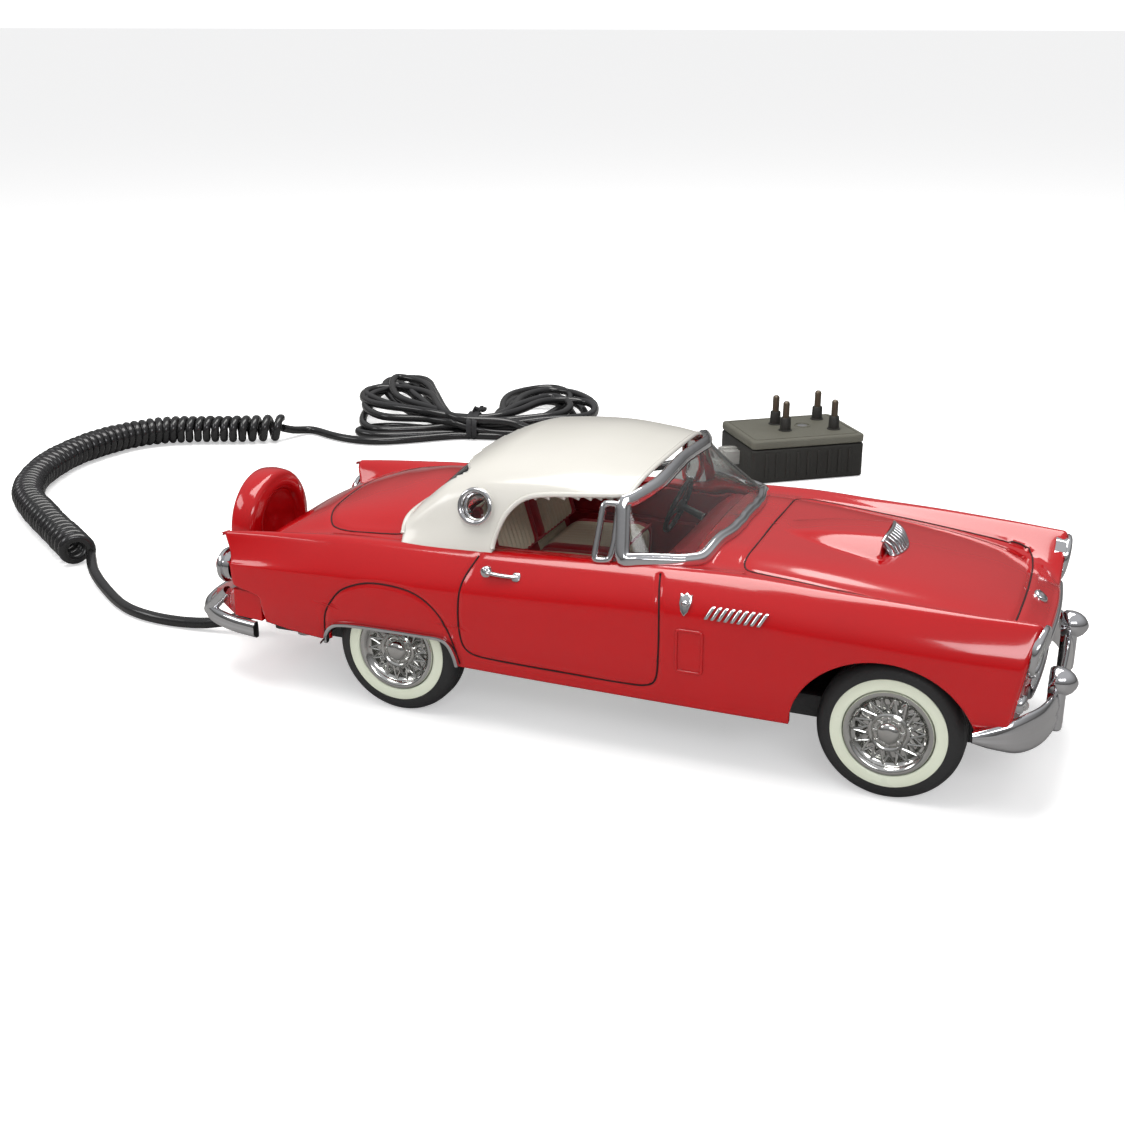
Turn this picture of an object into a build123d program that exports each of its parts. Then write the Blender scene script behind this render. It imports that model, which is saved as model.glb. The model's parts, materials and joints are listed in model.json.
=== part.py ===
"""Telephone in the shape of a two-seat 1950s hardtop car: the whole car is the handset.

The keypad, earpiece, microphone and hook plunger are in the underside, so standing the car on its wheels
hangs up. A coiled cord leaves the tail, runs into a tied hank of line cord and ends in a four-pin wall
adapter.

Frame: millimetres, +X towards the car's nose, +Y to the driver's side, +Z up. The origin is on the table
under the middle of the wheelbase, at the foot of the hook plunger.
"""

import os
from math import cos, hypot, radians, sin

from build123d import *

os.makedirs("parts", exist_ok=True)

# ---------------------------------------------------------------- driving dimensions
WHEELBASE = 144.0
TYRE_R = 19.5
WHITEWALL_R = 15.4
RIM_R = 12.0
TYRE_WIDTH = 10.5
WHEEL_FACE_Y = 44.4
AXLE_R = 1.5
RUNNING_GAP = 0.05
FRONT_X = WHEELBASE / 2
REAR_X = -WHEELBASE / 2

SKIN = 2.0
NOSE_X = 109.3
TAIL_X = -131.0

PAN_BOTTOM = 14.5
PAN_SKIN = 1.8
PAN_TOP = PAN_BOTTOM + PAN_SKIN
TRAY_HALF_Y = 31.0
FLANGE_Z = 19.2
FLANGE_SKIN = 1.6

KEY_X0 = -19.0
KEY_PITCH_X = 12.5
KEY_PITCH_Y = 15.0
KEY_SIZE = (9.0, 11.5)
KEY_TRAVEL = 1.0
HOOK_STEM_R = 3.0
HOOK_TRAVEL = 3.0

KIT_X = -141.5
KIT_Z = 37.7
KIT_R = 17.8
KIT_WIDTH = 10.0

ADAPTER_CENTRE = (-24.6, 249.3)
ADAPTER_TURN = 37.0
ADAPTER_SIZE = (54.0, 39.0, 19.5)

CORD_R = 1.9
COIL_R = 6.6


# ---------------------------------------------------------------- curves that shape the car
def rail(*knots):
    """A smooth function through (x, value) knots that never overshoots between them."""
    xs = [k[0] for k in knots]
    vs = [k[1] for k in knots]
    steps = [(vs[i + 1] - vs[i]) / (xs[i + 1] - xs[i]) for i in range(len(xs) - 1)]
    slopes = [steps[0]]
    for before, after in zip(steps, steps[1:]):
        slopes.append(0.0 if before * after <= 0 else 2 * before * after / (before + after))
    slopes.append(steps[-1])

    def value(x):
        x = min(max(x, xs[0]), xs[-1])
        i = max(j for j in range(len(xs) - 1) if xs[j] <= x)
        width = xs[i + 1] - xs[i]
        t = (x - xs[i]) / width
        a = (1 + 2 * t) * (1 - t) ** 2 * vs[i] + t * t * (3 - 2 * t) * vs[i + 1]
        b = t * (1 - t) ** 2 * slopes[i] - t * t * (1 - t) * slopes[i + 1]
        return a + b * width

    return value


centre_z = rail((-131, 38.0), (-125, 43.5), (-118, 48.3), (-110, 52.3), (-101, 55.8), (-92, 58.2),
                (-80, 60.0),
                (-45, 60.4), (5, 59.4), (30, 58.2), (45, 57.4), (60, 56.3), (70, 55.3), (80, 53.8),
                (90, 51.6),
                (97, 49.5), (101, 47.8), (104, 45.8), (108, 43.2), (113, 40.0))
lid_edge_z = rail((-131, 37.2), (-125, 42.0), (-118, 46.0), (-110, 49.2), (-101, 51.7), (-92, 53.4),
                  (-80, 54.7),
                  (-45, 55.8), (20, 57.3), (38, 56.4), (53, 55.0), (65, 53.7), (77, 52.3), (89, 50.2),
                  (95, 48.6),
                  (101, 46.6), (108, 42.8), (113, 39.8))
valley_z = rail((-131, 39.0), (-125, 42.2), (-118, 45.2), (-105, 48.4), (-92, 50.6), (-70, 52.4), (-45, 53.6),
                (0, 55.2), (27, 55.7), (39, 55.1), (52, 54.0), (67, 52.7), (81, 51.4), (93, 49.9),
                (108, 47.5),
                (113, 46.8))
crown_z = rail((-131, 48.4), (-118, 49.8), (-105, 50.9), (-90, 52.0), (-70, 52.6), (-45, 53.5), (-20, 54.7),
               (10, 56.1), (30, 56.5), (50, 55.7), (70, 55.0), (87, 54.2), (106, 53.3), (113, 52.6))
crown_y = rail((-131, 41.2), (60, 41.2), (90, 40.2), (104, 38.8), (113, 38.5))
valley_y = rail((-131, 34.6), (60, 34.6), (90, 33.0), (104, 30.8), (113, 30.2))
side_y = rail((-131, 45.6), (-118, 46.8), (-95, 48.0), (-60, 49.0), (-20, 49.4), (20, 49.4), (50, 49.2),
              (72, 48.8), (90, 47.6), (101, 46.2), (108, 45.0), (113, 44.0))
sill_z = rail((-131, 24.5), (-117, 21.9), (-95, 19.9), (-47, 18.9), (45, 18.5), (94, 23.0), (108, 26.0),
              (113, 27.0))

STATIONS = (-131, -125, -116, -103, -85, -60, -30, 5, 32, 54, 72, 86, 96, 104, 113)
CAVITY_STATIONS = (-124, -116, -103, -85, -60, -30, 5, 32, 54, 72, 86, 99)


def outer_half(x):
    """Half of the body's outer section at x, from the centre line on top down to the sill, as (y, z)
    points."""
    top, edge, valley, crown, side = centre_z(x), lid_edge_z(x), valley_z(x), crown_z(x), side_y(x)
    ridge, dip = crown_y(x), valley_y(x)
    return [
        (0.0, top),
        (15.0, top - 0.24 * (top - edge)),
        (dip - 6.6, edge),
        (dip, valley),
        (ridge - 2.9, crown - 0.26 * (crown - valley) - 0.2),
        (ridge, crown),
        (0.45 * ridge + 0.55 * side - 1.1, crown - 2.4),
        (side - 1.0, crown - 8.0),
        (side, 40.0 - 0.1 * (55.0 - crown)),
        (side - 0.3, 31.0),
        (side - 3.0, sill_z(x)),
    ]


def inner_half(x):
    """Half of the cavity's section: the outer section moved in by the skin and run down past the open
    bottom."""
    top, edge, crown, side = centre_z(x), lid_edge_z(x), crown_z(x), side_y(x)
    roof = min(edge, valley_z(x))
    dip = valley_y(x)
    return [
        (0.0, top - SKIN - 0.2),
        (dip - 8.6, min(edge, top) - SKIN - 0.4),
        (dip + 0.4, roof - SKIN - 0.6),
        (dip + 5.9, min(crown, roof + 3.0) - 5.0),
        (side - SKIN - 1.6, crown - 12.0),
        (side - SKIN - 0.5, 36.0),
        (side - SKIN - 2.4, 24.0),
        (side - SKIN - 2.6, 8.0),
    ]


roof_top = rail((-79, 52.6), (-73, 58.8), (-66, 66.5), (-57, 74.4), (-45, 78.6), (-25, 80.2), (-10, 79.0),
                (4, 76.2))
ROOF_STATIONS = (-77, -72, -66, -58, -48, -36, -20, -6, 4)
ROOF_SIDE = ((0.0, 80.0), (20.0, 78.6), (30.0, 76.0), (34.2, 73.4), (36.7, 70.2), (38.6, 64.5), (40.3, 58.5),
             (42.0, 52.5), (42.6, 48.0))
ROOF_BASE, ROOF_REF, ROOF_SKIN = 50.0, 80.0, 1.7


def roof_half(x, inset=0.0):
    """Half of the hardtop's section at x; inset moves it in by a wall thickness."""
    rise = (roof_top(x - 0.8 * inset) - ROOF_BASE) / (ROOF_REF - ROOF_BASE)
    half = []
    for y, z in ROOF_SIDE:
        drop = inset if z > 60 else inset + 2.0
        half.append((max(0.0, y - inset * y / 42.0), ROOF_BASE + (z - ROOF_BASE) * rise - drop))
    return half


def mirrored(half):
    """A full section's points, from the sill at -Y over the top to the sill at +Y."""
    return [(-y, z) for y, z in reversed(half[1:])] + half


def cross_plane(x):
    """The plane across the car at x, with its own x along +Y and its y along +Z."""
    return Plane(origin=(x, 0, 0), x_dir=(0, 1, 0), z_dir=(1, 0, 0))


def side_plane(y):
    """The plane along the car at y, seen from the passenger's side: its x along +X and its y along +Z."""
    return Plane(origin=(0, y, 0), x_dir=(1, 0, 0), z_dir=(0, -1, 0))


def flank_plane(x, y, z, lean):
    """A plane on a flank leaning in at the top by lean degrees; y below zero is the passenger's side."""
    out = -1 if y < 0 else 1
    return Plane(origin=(x, y, z), x_dir=(-out, 0, 0),
                 z_dir=(0, out * cos(radians(lean)), sin(radians(lean))))


def section_face(half, x):
    """A closed section across the car, open spline on top and a straight line underneath."""
    with BuildSketch(cross_plane(x)) as section:
        with BuildLine():
            points = mirrored(half)
            Spline(*points)
            Line(points[-1], points[0])
        make_face()
    return section.sketch


def lofted(half, stations):
    """The solid lofted through the sections that half(x) gives at each station."""
    with BuildPart() as blank:
        loft(sections=[section_face(half(x), x) for x in stations])
    return blank.part


def nose_tool(shift):
    """Everything ahead of the raked, gently curved nose surface moved forward by shift."""
    with BuildPart() as tool:
        with BuildSketch(Plane(origin=(0, 0, 60), x_dir=(cos(radians(9)), 0, -sin(radians(9))),
                               z_dir=(sin(radians(9)), 0, cos(radians(9))))):
            with BuildLine():
                ThreePointArc((NOSE_X - 8.8 + shift, 70), (NOSE_X + shift, 0), (NOSE_X - 8.8 + shift, -70))
                Polyline((NOSE_X - 8.8 + shift, -70), (150, -70), (150, 70), (NOSE_X - 8.8 + shift, 70))
            make_face()
        extrude(amount=60, both=True)
    return tool.part


def shifted(path, distance):
    """The path's points moved sideways by distance, to the left of its direction."""
    moved = []
    for i, (x, y) in enumerate(path):
        ax, ay = path[max(i - 1, 0)]
        bx, by = path[min(i + 1, len(path) - 1)]
        length = hypot(bx - ax, by - ay)
        moved.append((x - distance * (by - ay) / length, y + distance * (bx - ax) / length))
    return moved


def plan_band(outer, depth):
    """A strip of even depth behind an open plan curve given for +Y and mirrored; returns its outline's
    edges."""
    full = [(x, -y) for x, y in reversed(outer[1:])] + list(outer)
    inner = shifted(full, depth)
    with BuildLine(mode=Mode.PRIVATE) as outline:
        Spline(*full)
        Line(full[-1], inner[-1])
        Spline(*reversed(inner))
        Line(inner[0], full[0])
    return outline.line


def band_solid(outer, depth, z0, z1):
    """The strip of plan_band raised from z0 to z1."""
    with BuildPart() as strip:
        with BuildSketch(Plane.XY.offset(z0)):
            make_face(plan_band(outer, depth).edges())
        extrude(amount=z1 - z0)
    return strip.part


def side_prism(outline, y0, y1):
    """The side-view outline run from |y| = y0 to y1 on both flanks."""
    with BuildPart() as prism:
        for out in (-1, 1):
            with BuildSketch(side_plane(out * y0)):
                with BuildLine():
                    Polyline(*outline, outline[0])
                make_face()
            extrude(amount=-out * (y1 - y0))
    return prism.part


def keep(part, name):
    """Labels a finished part and writes it as its own STEP file."""
    part.label = name
    export_step(part, f"parts/{name}.step")


body_blank = lofted(outer_half, STATIONS)
skin_gap = scale(body_blank, by=(1.0, 1.0012, 1.0)).moved(Location((0, 0, 0.08)))


# ---------------------------------------------------------------- body shell
SCOOP_FOOT = 55.2
SCOOP_RIBS = ((30.0, 5.5, 57.0), (38.0, 7.8, 58.9), (48.0, 9.0, 60.1), (61.5, 9.5, 60.8))
ARCH_A, ARCH_B, ARCH_Z, ARCH_X = 24.2, 22.6, 18.4, 70.3
SKIRT_OUTLINE = ((-95.2, 16), (-94.4, 20), (-92.6, 23.8), (-89.0, 26.4), (-71.7, 27.6), (-54.2, 27.8),
                 (-51.9, 25.5), (-50.6, 19.1), (-50.3, 16))
COCKPIT_X0, COCKPIT_X1, COCKPIT_Y = -63.0, 14.0, 36.5
GRILLE_Y, GRILLE_Z0, GRILLE_Z1 = 31.0, 28.6, 41.4
LAMP_Y, LAMP_Z, LAMP_R = 37.4, 45.7, 6.2
TAIL_LAMP_Y, TAIL_LAMP_Z, TAIL_LAMP_R = 41.4, 37.8, 4.7
TAIL_OUTLINE = ((-131.3, 70), (-130.6, 48.6), (-127.4, 41.5), (-126.8, 33.4), (-116.5, 31.4), (-117.2, 16),
                (-160, 16), (-160, 70))
BOSSES = ((-106.0, 38.4), (-30.0, 41.4), (36.0, 41.4))
BOSS_R, PILOT_R, BOSS_TOP, TAIL_BOSS_TOP = 3.2, 1.5, 51.0, 47.0

def scoop_section(half_y, top):
    """Half of the scoop's section, a low arch with its foot buried in the bonnet skin."""
    return [(0.0, top), (0.55 * half_y, top - 0.25), (0.88 * half_y, top - 1.5), (half_y, SCOOP_FOOT)]


SCOOP_SHAPES = {rib_x: scoop_section(half_y, top) for rib_x, half_y, top in SCOOP_RIBS}

with BuildPart() as body_shell:
    add(body_blank)
    add(nose_tool(0), mode=Mode.SUBTRACT)
    add(side_prism(TAIL_OUTLINE, 0.0, 70.0), mode=Mode.SUBTRACT)
    add(lofted(inner_half, CAVITY_STATIONS), mode=Mode.SUBTRACT)
    with BuildSketch(Plane.XY.offset(42)):
        with Locations(((COCKPIT_X0 + COCKPIT_X1) / 2, 0)):
            RectangleRounded(COCKPIT_X1 - COCKPIT_X0, 2 * COCKPIT_Y, 9)
    extrude(amount=30, mode=Mode.SUBTRACT)
    with BuildSketch(side_plane(0)):
        with Locations((ARCH_X, ARCH_Z)):
            Ellipse(ARCH_A, ARCH_B)
    extrude(amount=70, both=True, mode=Mode.SUBTRACT)
    add(side_prism(SKIRT_OUTLINE, 0.0, 70.0), mode=Mode.SUBTRACT)
    with BuildSketch(cross_plane(97)):
        with Locations((0, (GRILLE_Z0 + GRILLE_Z1) / 2)):
            SlotOverall(2 * GRILLE_Y, GRILLE_Z1 - GRILLE_Z0)
        with Locations((LAMP_Y, LAMP_Z), (-LAMP_Y, LAMP_Z)):
            Circle(LAMP_R)
    extrude(amount=20, mode=Mode.SUBTRACT)
    with BuildSketch(cross_plane(-122)):
        with Locations((TAIL_LAMP_Y, TAIL_LAMP_Z), (-TAIL_LAMP_Y, TAIL_LAMP_Z)):
            Circle(TAIL_LAMP_R)
    extrude(amount=-20, mode=Mode.SUBTRACT)
    for boss_x, boss_y in BOSSES:
        boss_height = (TAIL_BOSS_TOP if boss_x < -100 else BOSS_TOP) - FLANGE_Z - FLANGE_SKIN - 0.1
        with BuildSketch(Plane.XY.offset(FLANGE_Z + FLANGE_SKIN + 0.1)):
            with Locations((boss_x, boss_y), (boss_x, -boss_y)):
                Circle(BOSS_R)
        extrude(amount=boss_height)
        with BuildSketch(Plane.XY.offset(FLANGE_Z)):
            with Locations((boss_x, boss_y), (boss_x, -boss_y)):
                Circle(PILOT_R)
        extrude(amount=12, mode=Mode.SUBTRACT)
    add(lofted(SCOOP_SHAPES.get, sorted(SCOOP_SHAPES)))
keep(body_shell.part, "body_shell")

# ---------------------------------------------------------------- scoop grille, valance, spare-wheel cover
SCOOP_NOSE = ((61.7, 54.0), (61.7, 60.7), (62.6, 60.5), (66.0, 55.9), (66.2, 54.0))
SCOOP_VANES, SCOOP_NOSE_Y, VANE_WIDTH = 8, 9.2, 0.7

with BuildPart() as scoop_grille:
    with BuildSketch(side_plane(0)):
        with BuildLine():
            Polyline(*SCOOP_NOSE, SCOOP_NOSE[0])
        make_face()
    extrude(amount=SCOOP_NOSE_Y, both=True)
    vane_pitch = 2 * (SCOOP_NOSE_Y - 0.8) / SCOOP_VANES
    for index in range(SCOOP_VANES):
        vane_y = (index + 0.5) * vane_pitch - SCOOP_NOSE_Y + 0.8
        with BuildSketch(side_plane(vane_y + (vane_pitch - VANE_WIDTH) / 2)):
            with BuildLine():
                Polyline((63.2, 60.8), (67.0, 60.8), (67.0, 55.6), (65.6, 55.6), (62.6, 59.7), (63.2, 60.8))
            make_face()
        extrude(amount=vane_pitch - VANE_WIDTH, mode=Mode.SUBTRACT)
    with BuildSketch(Plane.XY.offset(54)):
        with Locations((63, 0)):
            RectangleRounded(18, 2 * SCOOP_NOSE_Y, 3.2)
        with Locations((57.7, 0)):
            Rectangle(8, 30)
    extrude(amount=8, mode=Mode.INTERSECT)
    add(skin_gap, mode=Mode.SUBTRACT)
keep(scoop_grille.part, "scoop_grille")

VALANCE_SIDE = ((-117.4, 31.0), (-127.4, 31.2), (-139.8, 26.2), (-141.0, 23.2), (-121.0, 22.4),
                (-117.4, 22.2))
VALANCE_PLAN = ((-117.4, 44.6), (-127.0, 44.2), (-141.0, 34.0), (-144.6, 21.0), (-144.6, 0.0))

with BuildPart() as tail_valance:
    add(side_prism(VALANCE_SIDE, 0.0, 50.0))
    with BuildSketch(Plane.XY.offset(16)):
        with BuildLine():
            Polyline(*VALANCE_PLAN, *[(x, -y) for x, y in reversed(VALANCE_PLAN[:-1])], VALANCE_PLAN[0])
        make_face()
    extrude(amount=20, mode=Mode.INTERSECT)
    with BuildSketch(cross_plane(-117.2)):
        with Locations((0, KIT_Z)):
            Circle(KIT_R + 0.15)
    extrude(amount=-30, mode=Mode.SUBTRACT)
    with BuildSketch(Plane.XY.offset(10)):
        with Locations((-117, 0)):
            Rectangle(6, 2 * 31.2)
    extrude(amount=11.5, mode=Mode.SUBTRACT)
keep(tail_valance.part, "tail_valance")

KIT_FACE_R, KIT_RECESS, KIT_EDGE = 11.5, 2.2, 2.4

with BuildPart() as spare_wheel_cover:
    with BuildSketch(cross_plane(KIT_X - KIT_WIDTH / 2)):
        with Locations((0, KIT_Z)):
            Circle(KIT_R)
    extrude(amount=KIT_WIDTH)
    fillet(spare_wheel_cover.edges(), KIT_EDGE)
    with BuildSketch(cross_plane(KIT_X + KIT_WIDTH / 2)):
        with Locations((0, KIT_Z)):
            Circle(KIT_FACE_R)
    extrude(amount=-KIT_RECESS, mode=Mode.SUBTRACT)
    with BuildSketch(cross_plane(KIT_X + KIT_WIDTH / 2 - KIT_RECESS)):
        with Locations((0, KIT_Z)):
            Circle(4.5)
    extrude(amount=KIT_X * -1 - KIT_WIDTH / 2 + KIT_RECESS - 131.3 + 0.35)
    with BuildSketch(cross_plane(-131.0)):
        with Locations((0, KIT_Z)):
            Rectangle(60, 60)
    extrude(amount=20, mode=Mode.SUBTRACT)
keep(spare_wheel_cover.part, "spare_wheel_cover")

# ---------------------------------------------------------------- hardtop and its glass
SIDE_GLASS_OUTLINE = ((14, 44), (14, 73.4), (-4.2, 72.4), (-18, 71.6), (-28, 70.6), (-33.6, 69.0),
                      (-38.0, 65.0),
                      (-40.6, 59.5), (-41.6, 54), (-42, 44))
PORTHOLE_X, PORTHOLE_Y, PORTHOLE_Z, FLANK_LEAN = -47.6, 38.55, 65.4, 16.6
PORTHOLE_R, PORTHOLE_RIM_R, PORTHOLE_GLASS_R = 4.4, 5.35, 3.8
REAR_GLASS_Z0, REAR_GLASS_Z1, REAR_GLASS_Y = 61.0, 73.0, 31.0

roof_blank = lofted(roof_half, ROOF_STATIONS)


def rear_glass_prism(margin):
    """The rear window's outline, smaller by margin, run through the back of the hardtop."""
    with BuildPart() as prism:
        with BuildSketch(cross_plane(-48)):
            with Locations((0, (REAR_GLASS_Z0 + REAR_GLASS_Z1) / 2)):
                RectangleRounded(2 * (REAR_GLASS_Y - margin), REAR_GLASS_Z1 - REAR_GLASS_Z0 - 2 * margin, 3.5)
        extrude(amount=-34)
    return prism.part


def header_tool():
    """Everything ahead of the hardtop's bowed front edge."""
    with BuildPart() as tool:
        with BuildSketch(Plane.XY.offset(40)):
            with BuildLine():
                ThreePointArc((-5.0, 40), (-1.6, 0), (-5.0, -40))
                Polyline((-5.0, -40), (-5.0, -60), (40, -60), (40, 60), (-5.0, 60), (-5.0, 40))
            make_face()
        extrude(amount=50)
    return tool.part


def behind_header_tool():
    """Everything behind the hardtop's front edge, with a hair of air ahead of it."""
    with BuildPart() as tool:
        with BuildSketch(Plane.XY.offset(53)):
            with BuildLine():
                ThreePointArc((-4.95, 40), (-1.55, 0), (-4.95, -40))
                Polyline((-4.95, -40), (-4.95, -60), (-40, -60), (-40, 60), (-4.95, 60), (-4.95, 40))
            make_face()
        extrude(amount=30)
    return tool.part


def roof_heel_tool():
    """Everything behind the curved line where the hardtop meets the rear deck."""
    with BuildPart() as tool:
        with BuildSketch(Plane.XY.offset(40)):
            with BuildLine():
                ThreePointArc((-70.2, 42.5), (-74.0, 0), (-70.2, -42.5))
                Polyline((-70.2, -42.5), (-70.2, -60), (-100, -60), (-100, 60), (-70.2, 60), (-70.2, 42.5))
            make_face()
        extrude(amount=50)
    return tool.part


with BuildPart() as hardtop:
    add(roof_blank)
    add(lofted(lambda x: roof_half(x, ROOF_SKIN), (-75.5, -72, -66, -58, -48, -36, -20, -6, 6)),
        mode=Mode.SUBTRACT)
    add(skin_gap, mode=Mode.SUBTRACT)
    add(header_tool(), mode=Mode.SUBTRACT)
    add(roof_heel_tool(), mode=Mode.SUBTRACT)
    add(side_prism(SIDE_GLASS_OUTLINE, 0.0, 60.0), mode=Mode.SUBTRACT)
    add(rear_glass_prism(0.0), mode=Mode.SUBTRACT)
    with BuildSketch(side_plane(0)):
        with Locations((PORTHOLE_X, PORTHOLE_Z)):
            Circle(PORTHOLE_R)
    extrude(amount=60, both=True, mode=Mode.SUBTRACT)
keep(hardtop.part, "hardtop")

def rear_glass():
    """The wrap-round rear window, a thin layer inside the hardtop's opening."""
    with BuildPart() as pane:
        add(lofted(lambda x: roof_half(x, 0.3), (-77, -72, -66, -58, -48)))
        add(lofted(lambda x: roof_half(x, 1.3), (-75.9, -72, -66, -58, -48)), mode=Mode.SUBTRACT)
        add(rear_glass_prism(0.15), mode=Mode.INTERSECT)
    return pane.part


with BuildPart() as porthole_rims:
    for out in (-1, 1):
        with BuildSketch(flank_plane(PORTHOLE_X, out * PORTHOLE_Y, PORTHOLE_Z, FLANK_LEAN).offset(0.45)):
            Circle(PORTHOLE_RIM_R)
            Circle(PORTHOLE_GLASS_R + 0.05, mode=Mode.SUBTRACT)
        extrude(amount=0.8)
        with BuildSketch(flank_plane(PORTHOLE_X, out * PORTHOLE_Y, PORTHOLE_Z, FLANK_LEAN).offset(-0.9)):
            Circle(PORTHOLE_R - 0.25)
            Circle(PORTHOLE_GLASS_R + 0.05, mode=Mode.SUBTRACT)
        extrude(amount=1.4)
keep(porthole_rims.part, "porthole_rims")

VENT_OUTLINE = ((-11.7, 54.9), (-5.8, 55.6), (-5.0, 60.5), (-5.0, 71.4), (-10.7, 71.2))
VENT_PANE = ((-10.6, 56.2), (-7.0, 56.6), (-6.4, 60.6), (-6.4, 70.0), (-9.7, 69.9))
VENT_FOOT_Y, VENT_FOOT_Z, VENT_LEAN = 42.6, 54.5, 19.0


def vent_points(outline, out):
    """A side-view outline expressed on the leaning vent-window plane of one flank."""
    stretch = 1 / cos(radians(VENT_LEAN))
    return [(-out * x, (z - VENT_FOOT_Z) * stretch) for x, z in outline]


with BuildPart() as vent_window_frames:
    for out in (-1, 1):
        with BuildSketch(flank_plane(0, out * VENT_FOOT_Y, VENT_FOOT_Z, VENT_LEAN).offset(-1.2)):
            with BuildLine():
                frame_points = vent_points(VENT_OUTLINE, out)
                Polyline(*frame_points, frame_points[0])
            make_face()
            with BuildLine():
                pane_points = vent_points(VENT_PANE, out)
                Polyline(*pane_points, pane_points[0])
            make_face(mode=Mode.SUBTRACT)
        extrude(amount=1.2)
    add(skin_gap, mode=Mode.SUBTRACT)
keep(vent_window_frames.part, "vent_window_frames")

with BuildPart() as cabin_windows:
    add(rear_glass())
    for out in (-1, 1):
        with BuildSketch(flank_plane(PORTHOLE_X, out * PORTHOLE_Y, PORTHOLE_Z, FLANK_LEAN).offset(-0.6)):
            Circle(PORTHOLE_GLASS_R)
        extrude(amount=0.9)
        with BuildSketch(flank_plane(0, out * VENT_FOOT_Y, VENT_FOOT_Z, VENT_LEAN).offset(-0.9)):
            with BuildLine():
                pane_points = vent_points(VENT_PANE, out)
                Polyline(*pane_points, pane_points[0])
            make_face()
            offset(amount=-0.04, kind=Kind.INTERSECTION, mode=Mode.REPLACE)
        extrude(amount=0.6)
    add(skin_gap, mode=Mode.SUBTRACT)
keep(cabin_windows.part, "cabin_windows")

# ---------------------------------------------------------------- windscreen
SCREEN_BASE_Z, SCREEN_TOP_Z = 56.0, 75.0
SCREEN_BASE = ((27.0, 0), (26.4, 12), (24.2, 24), (19.4, 34), (12.6, 39.4), (5.0, 41.7), (-2.5, 43.0))
SCREEN_TOP = ((1.6, 0), (1.4, 10), (0.8, 20), (-0.2, 28), (-1.2, 32.4), (-2.3, 34.9), (-4.4, 36.2))
GLASS_DEPTH, FRAME_DEPTH, CHANNEL_GAP = 0.9, 2.1, 0.06


def screen_plan(z, inset):
    """The windscreen's plan curve at height z, moved in by inset."""
    t = (z - SCREEN_BASE_Z) / (SCREEN_TOP_Z - SCREEN_BASE_Z)
    curve = []
    for (bx, by), (tx, ty) in zip(SCREEN_BASE, SCREEN_TOP):
        y = by + (ty - by) * t
        curve.append((bx + (tx - bx) * t - inset * (1 - y / 60), y * (1 - inset / 43.0)))
    return curve


def screen_layer(inset, depth, z0, z1):
    """A leaning wrap-round layer of the windscreen between two heights."""
    with BuildPart() as layer:
        faces = []
        for z in (z0, z1):
            with BuildSketch(Plane.XY.offset(z)) as section:
                make_face(plan_band(screen_plan(z, inset), depth).edges())
            faces.append(section.sketch)
        loft(sections=faces, ruled=True)
    return layer.part


def screen_top_tool(drop):
    """Everything above the header's gentle arch, seen from the front, lowered by drop."""
    with BuildPart() as tool:
        with BuildSketch(cross_plane(40)):
            with BuildLine():
                ThreePointArc((-37, 72.4 - drop), (0, 75.4 - drop), (37, 72.4 - drop))
                Polyline((37, 72.4 - drop), (60, 71 - drop), (60, 95), (-60, 95), (-60, 71 - drop),
                         (-37, 72.4 - drop))
            make_face()
        extrude(amount=-60)
    return tool.part


def pillar_tool(x):
    """Everything behind the raked line just ahead of the windscreen pillars."""
    with BuildPart() as tool:
        with BuildSketch(side_plane(0)):
            with BuildLine():
                Polyline((x, 40), (x - 1.6, 90), (-40, 90), (-40, 40), (x, 40))
            make_face()
        extrude(amount=60, both=True)
    return tool.part


def daylight():
    """The opening the windscreen frame leaves, from the cowl strip to the header and back to the pillars."""
    with BuildPart() as tool:
        with Locations((20, 0, 65)):
            Box(50, 100, 30)
        add(body_blank.moved(Location((0, 0, 2.0))), mode=Mode.SUBTRACT)
        add(screen_top_tool(2.0), mode=Mode.SUBTRACT)
        add(pillar_tool(0.6), mode=Mode.SUBTRACT)
    return tool.part


def glass_channel():
    """The groove in the frame that takes the edge of the glass."""
    with BuildPart() as tool:
        add(screen_layer(0.6 - CHANNEL_GAP, GLASS_DEPTH + 2 * CHANNEL_GAP, 50, 79))
        add(body_blank.moved(Location((0, 0, 1.0))), mode=Mode.SUBTRACT)
        add(screen_top_tool(0.9), mode=Mode.SUBTRACT)
        add(pillar_tool(-0.7), mode=Mode.SUBTRACT)
    return tool.part


with BuildPart() as windshield:
    add(screen_layer(0.6, GLASS_DEPTH, 50, 79))
    add(body_blank.moved(Location((0, 0, 1.1))), mode=Mode.SUBTRACT)
    add(screen_top_tool(1.0), mode=Mode.SUBTRACT)
    add(pillar_tool(-0.6), mode=Mode.SUBTRACT)
keep(windshield.part, "windshield")

with BuildPart() as windshield_frame:
    add(screen_layer(0.0, FRAME_DEPTH, 50, 79))
    add(skin_gap, mode=Mode.SUBTRACT)
    add(screen_top_tool(0.0), mode=Mode.SUBTRACT)
    add(daylight(), mode=Mode.SUBTRACT)
    add(glass_channel(), mode=Mode.SUBTRACT)
    add(behind_header_tool(), mode=Mode.SUBTRACT)
keep(windshield_frame.part, "windshield_frame")

# ---------------------------------------------------------------- cabin
TUB_X0, TUB_X1, TUB_Y, TUB_Z0, TUB_Z1, TUB_SKIN = -62.7, 13.7, 36.2, 27.6, 53.2, 1.6
TUB_FLOOR_Y = 32.9
WHEEL_HOUSE_R = 21.6
DASH = ((5.6, 53.4), (3.0, 51.6), (2.6, 46.4), (5.4, 44.6), (12.3, 44.6), (12.3, 54.6), (8.4, 54.6))

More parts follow.
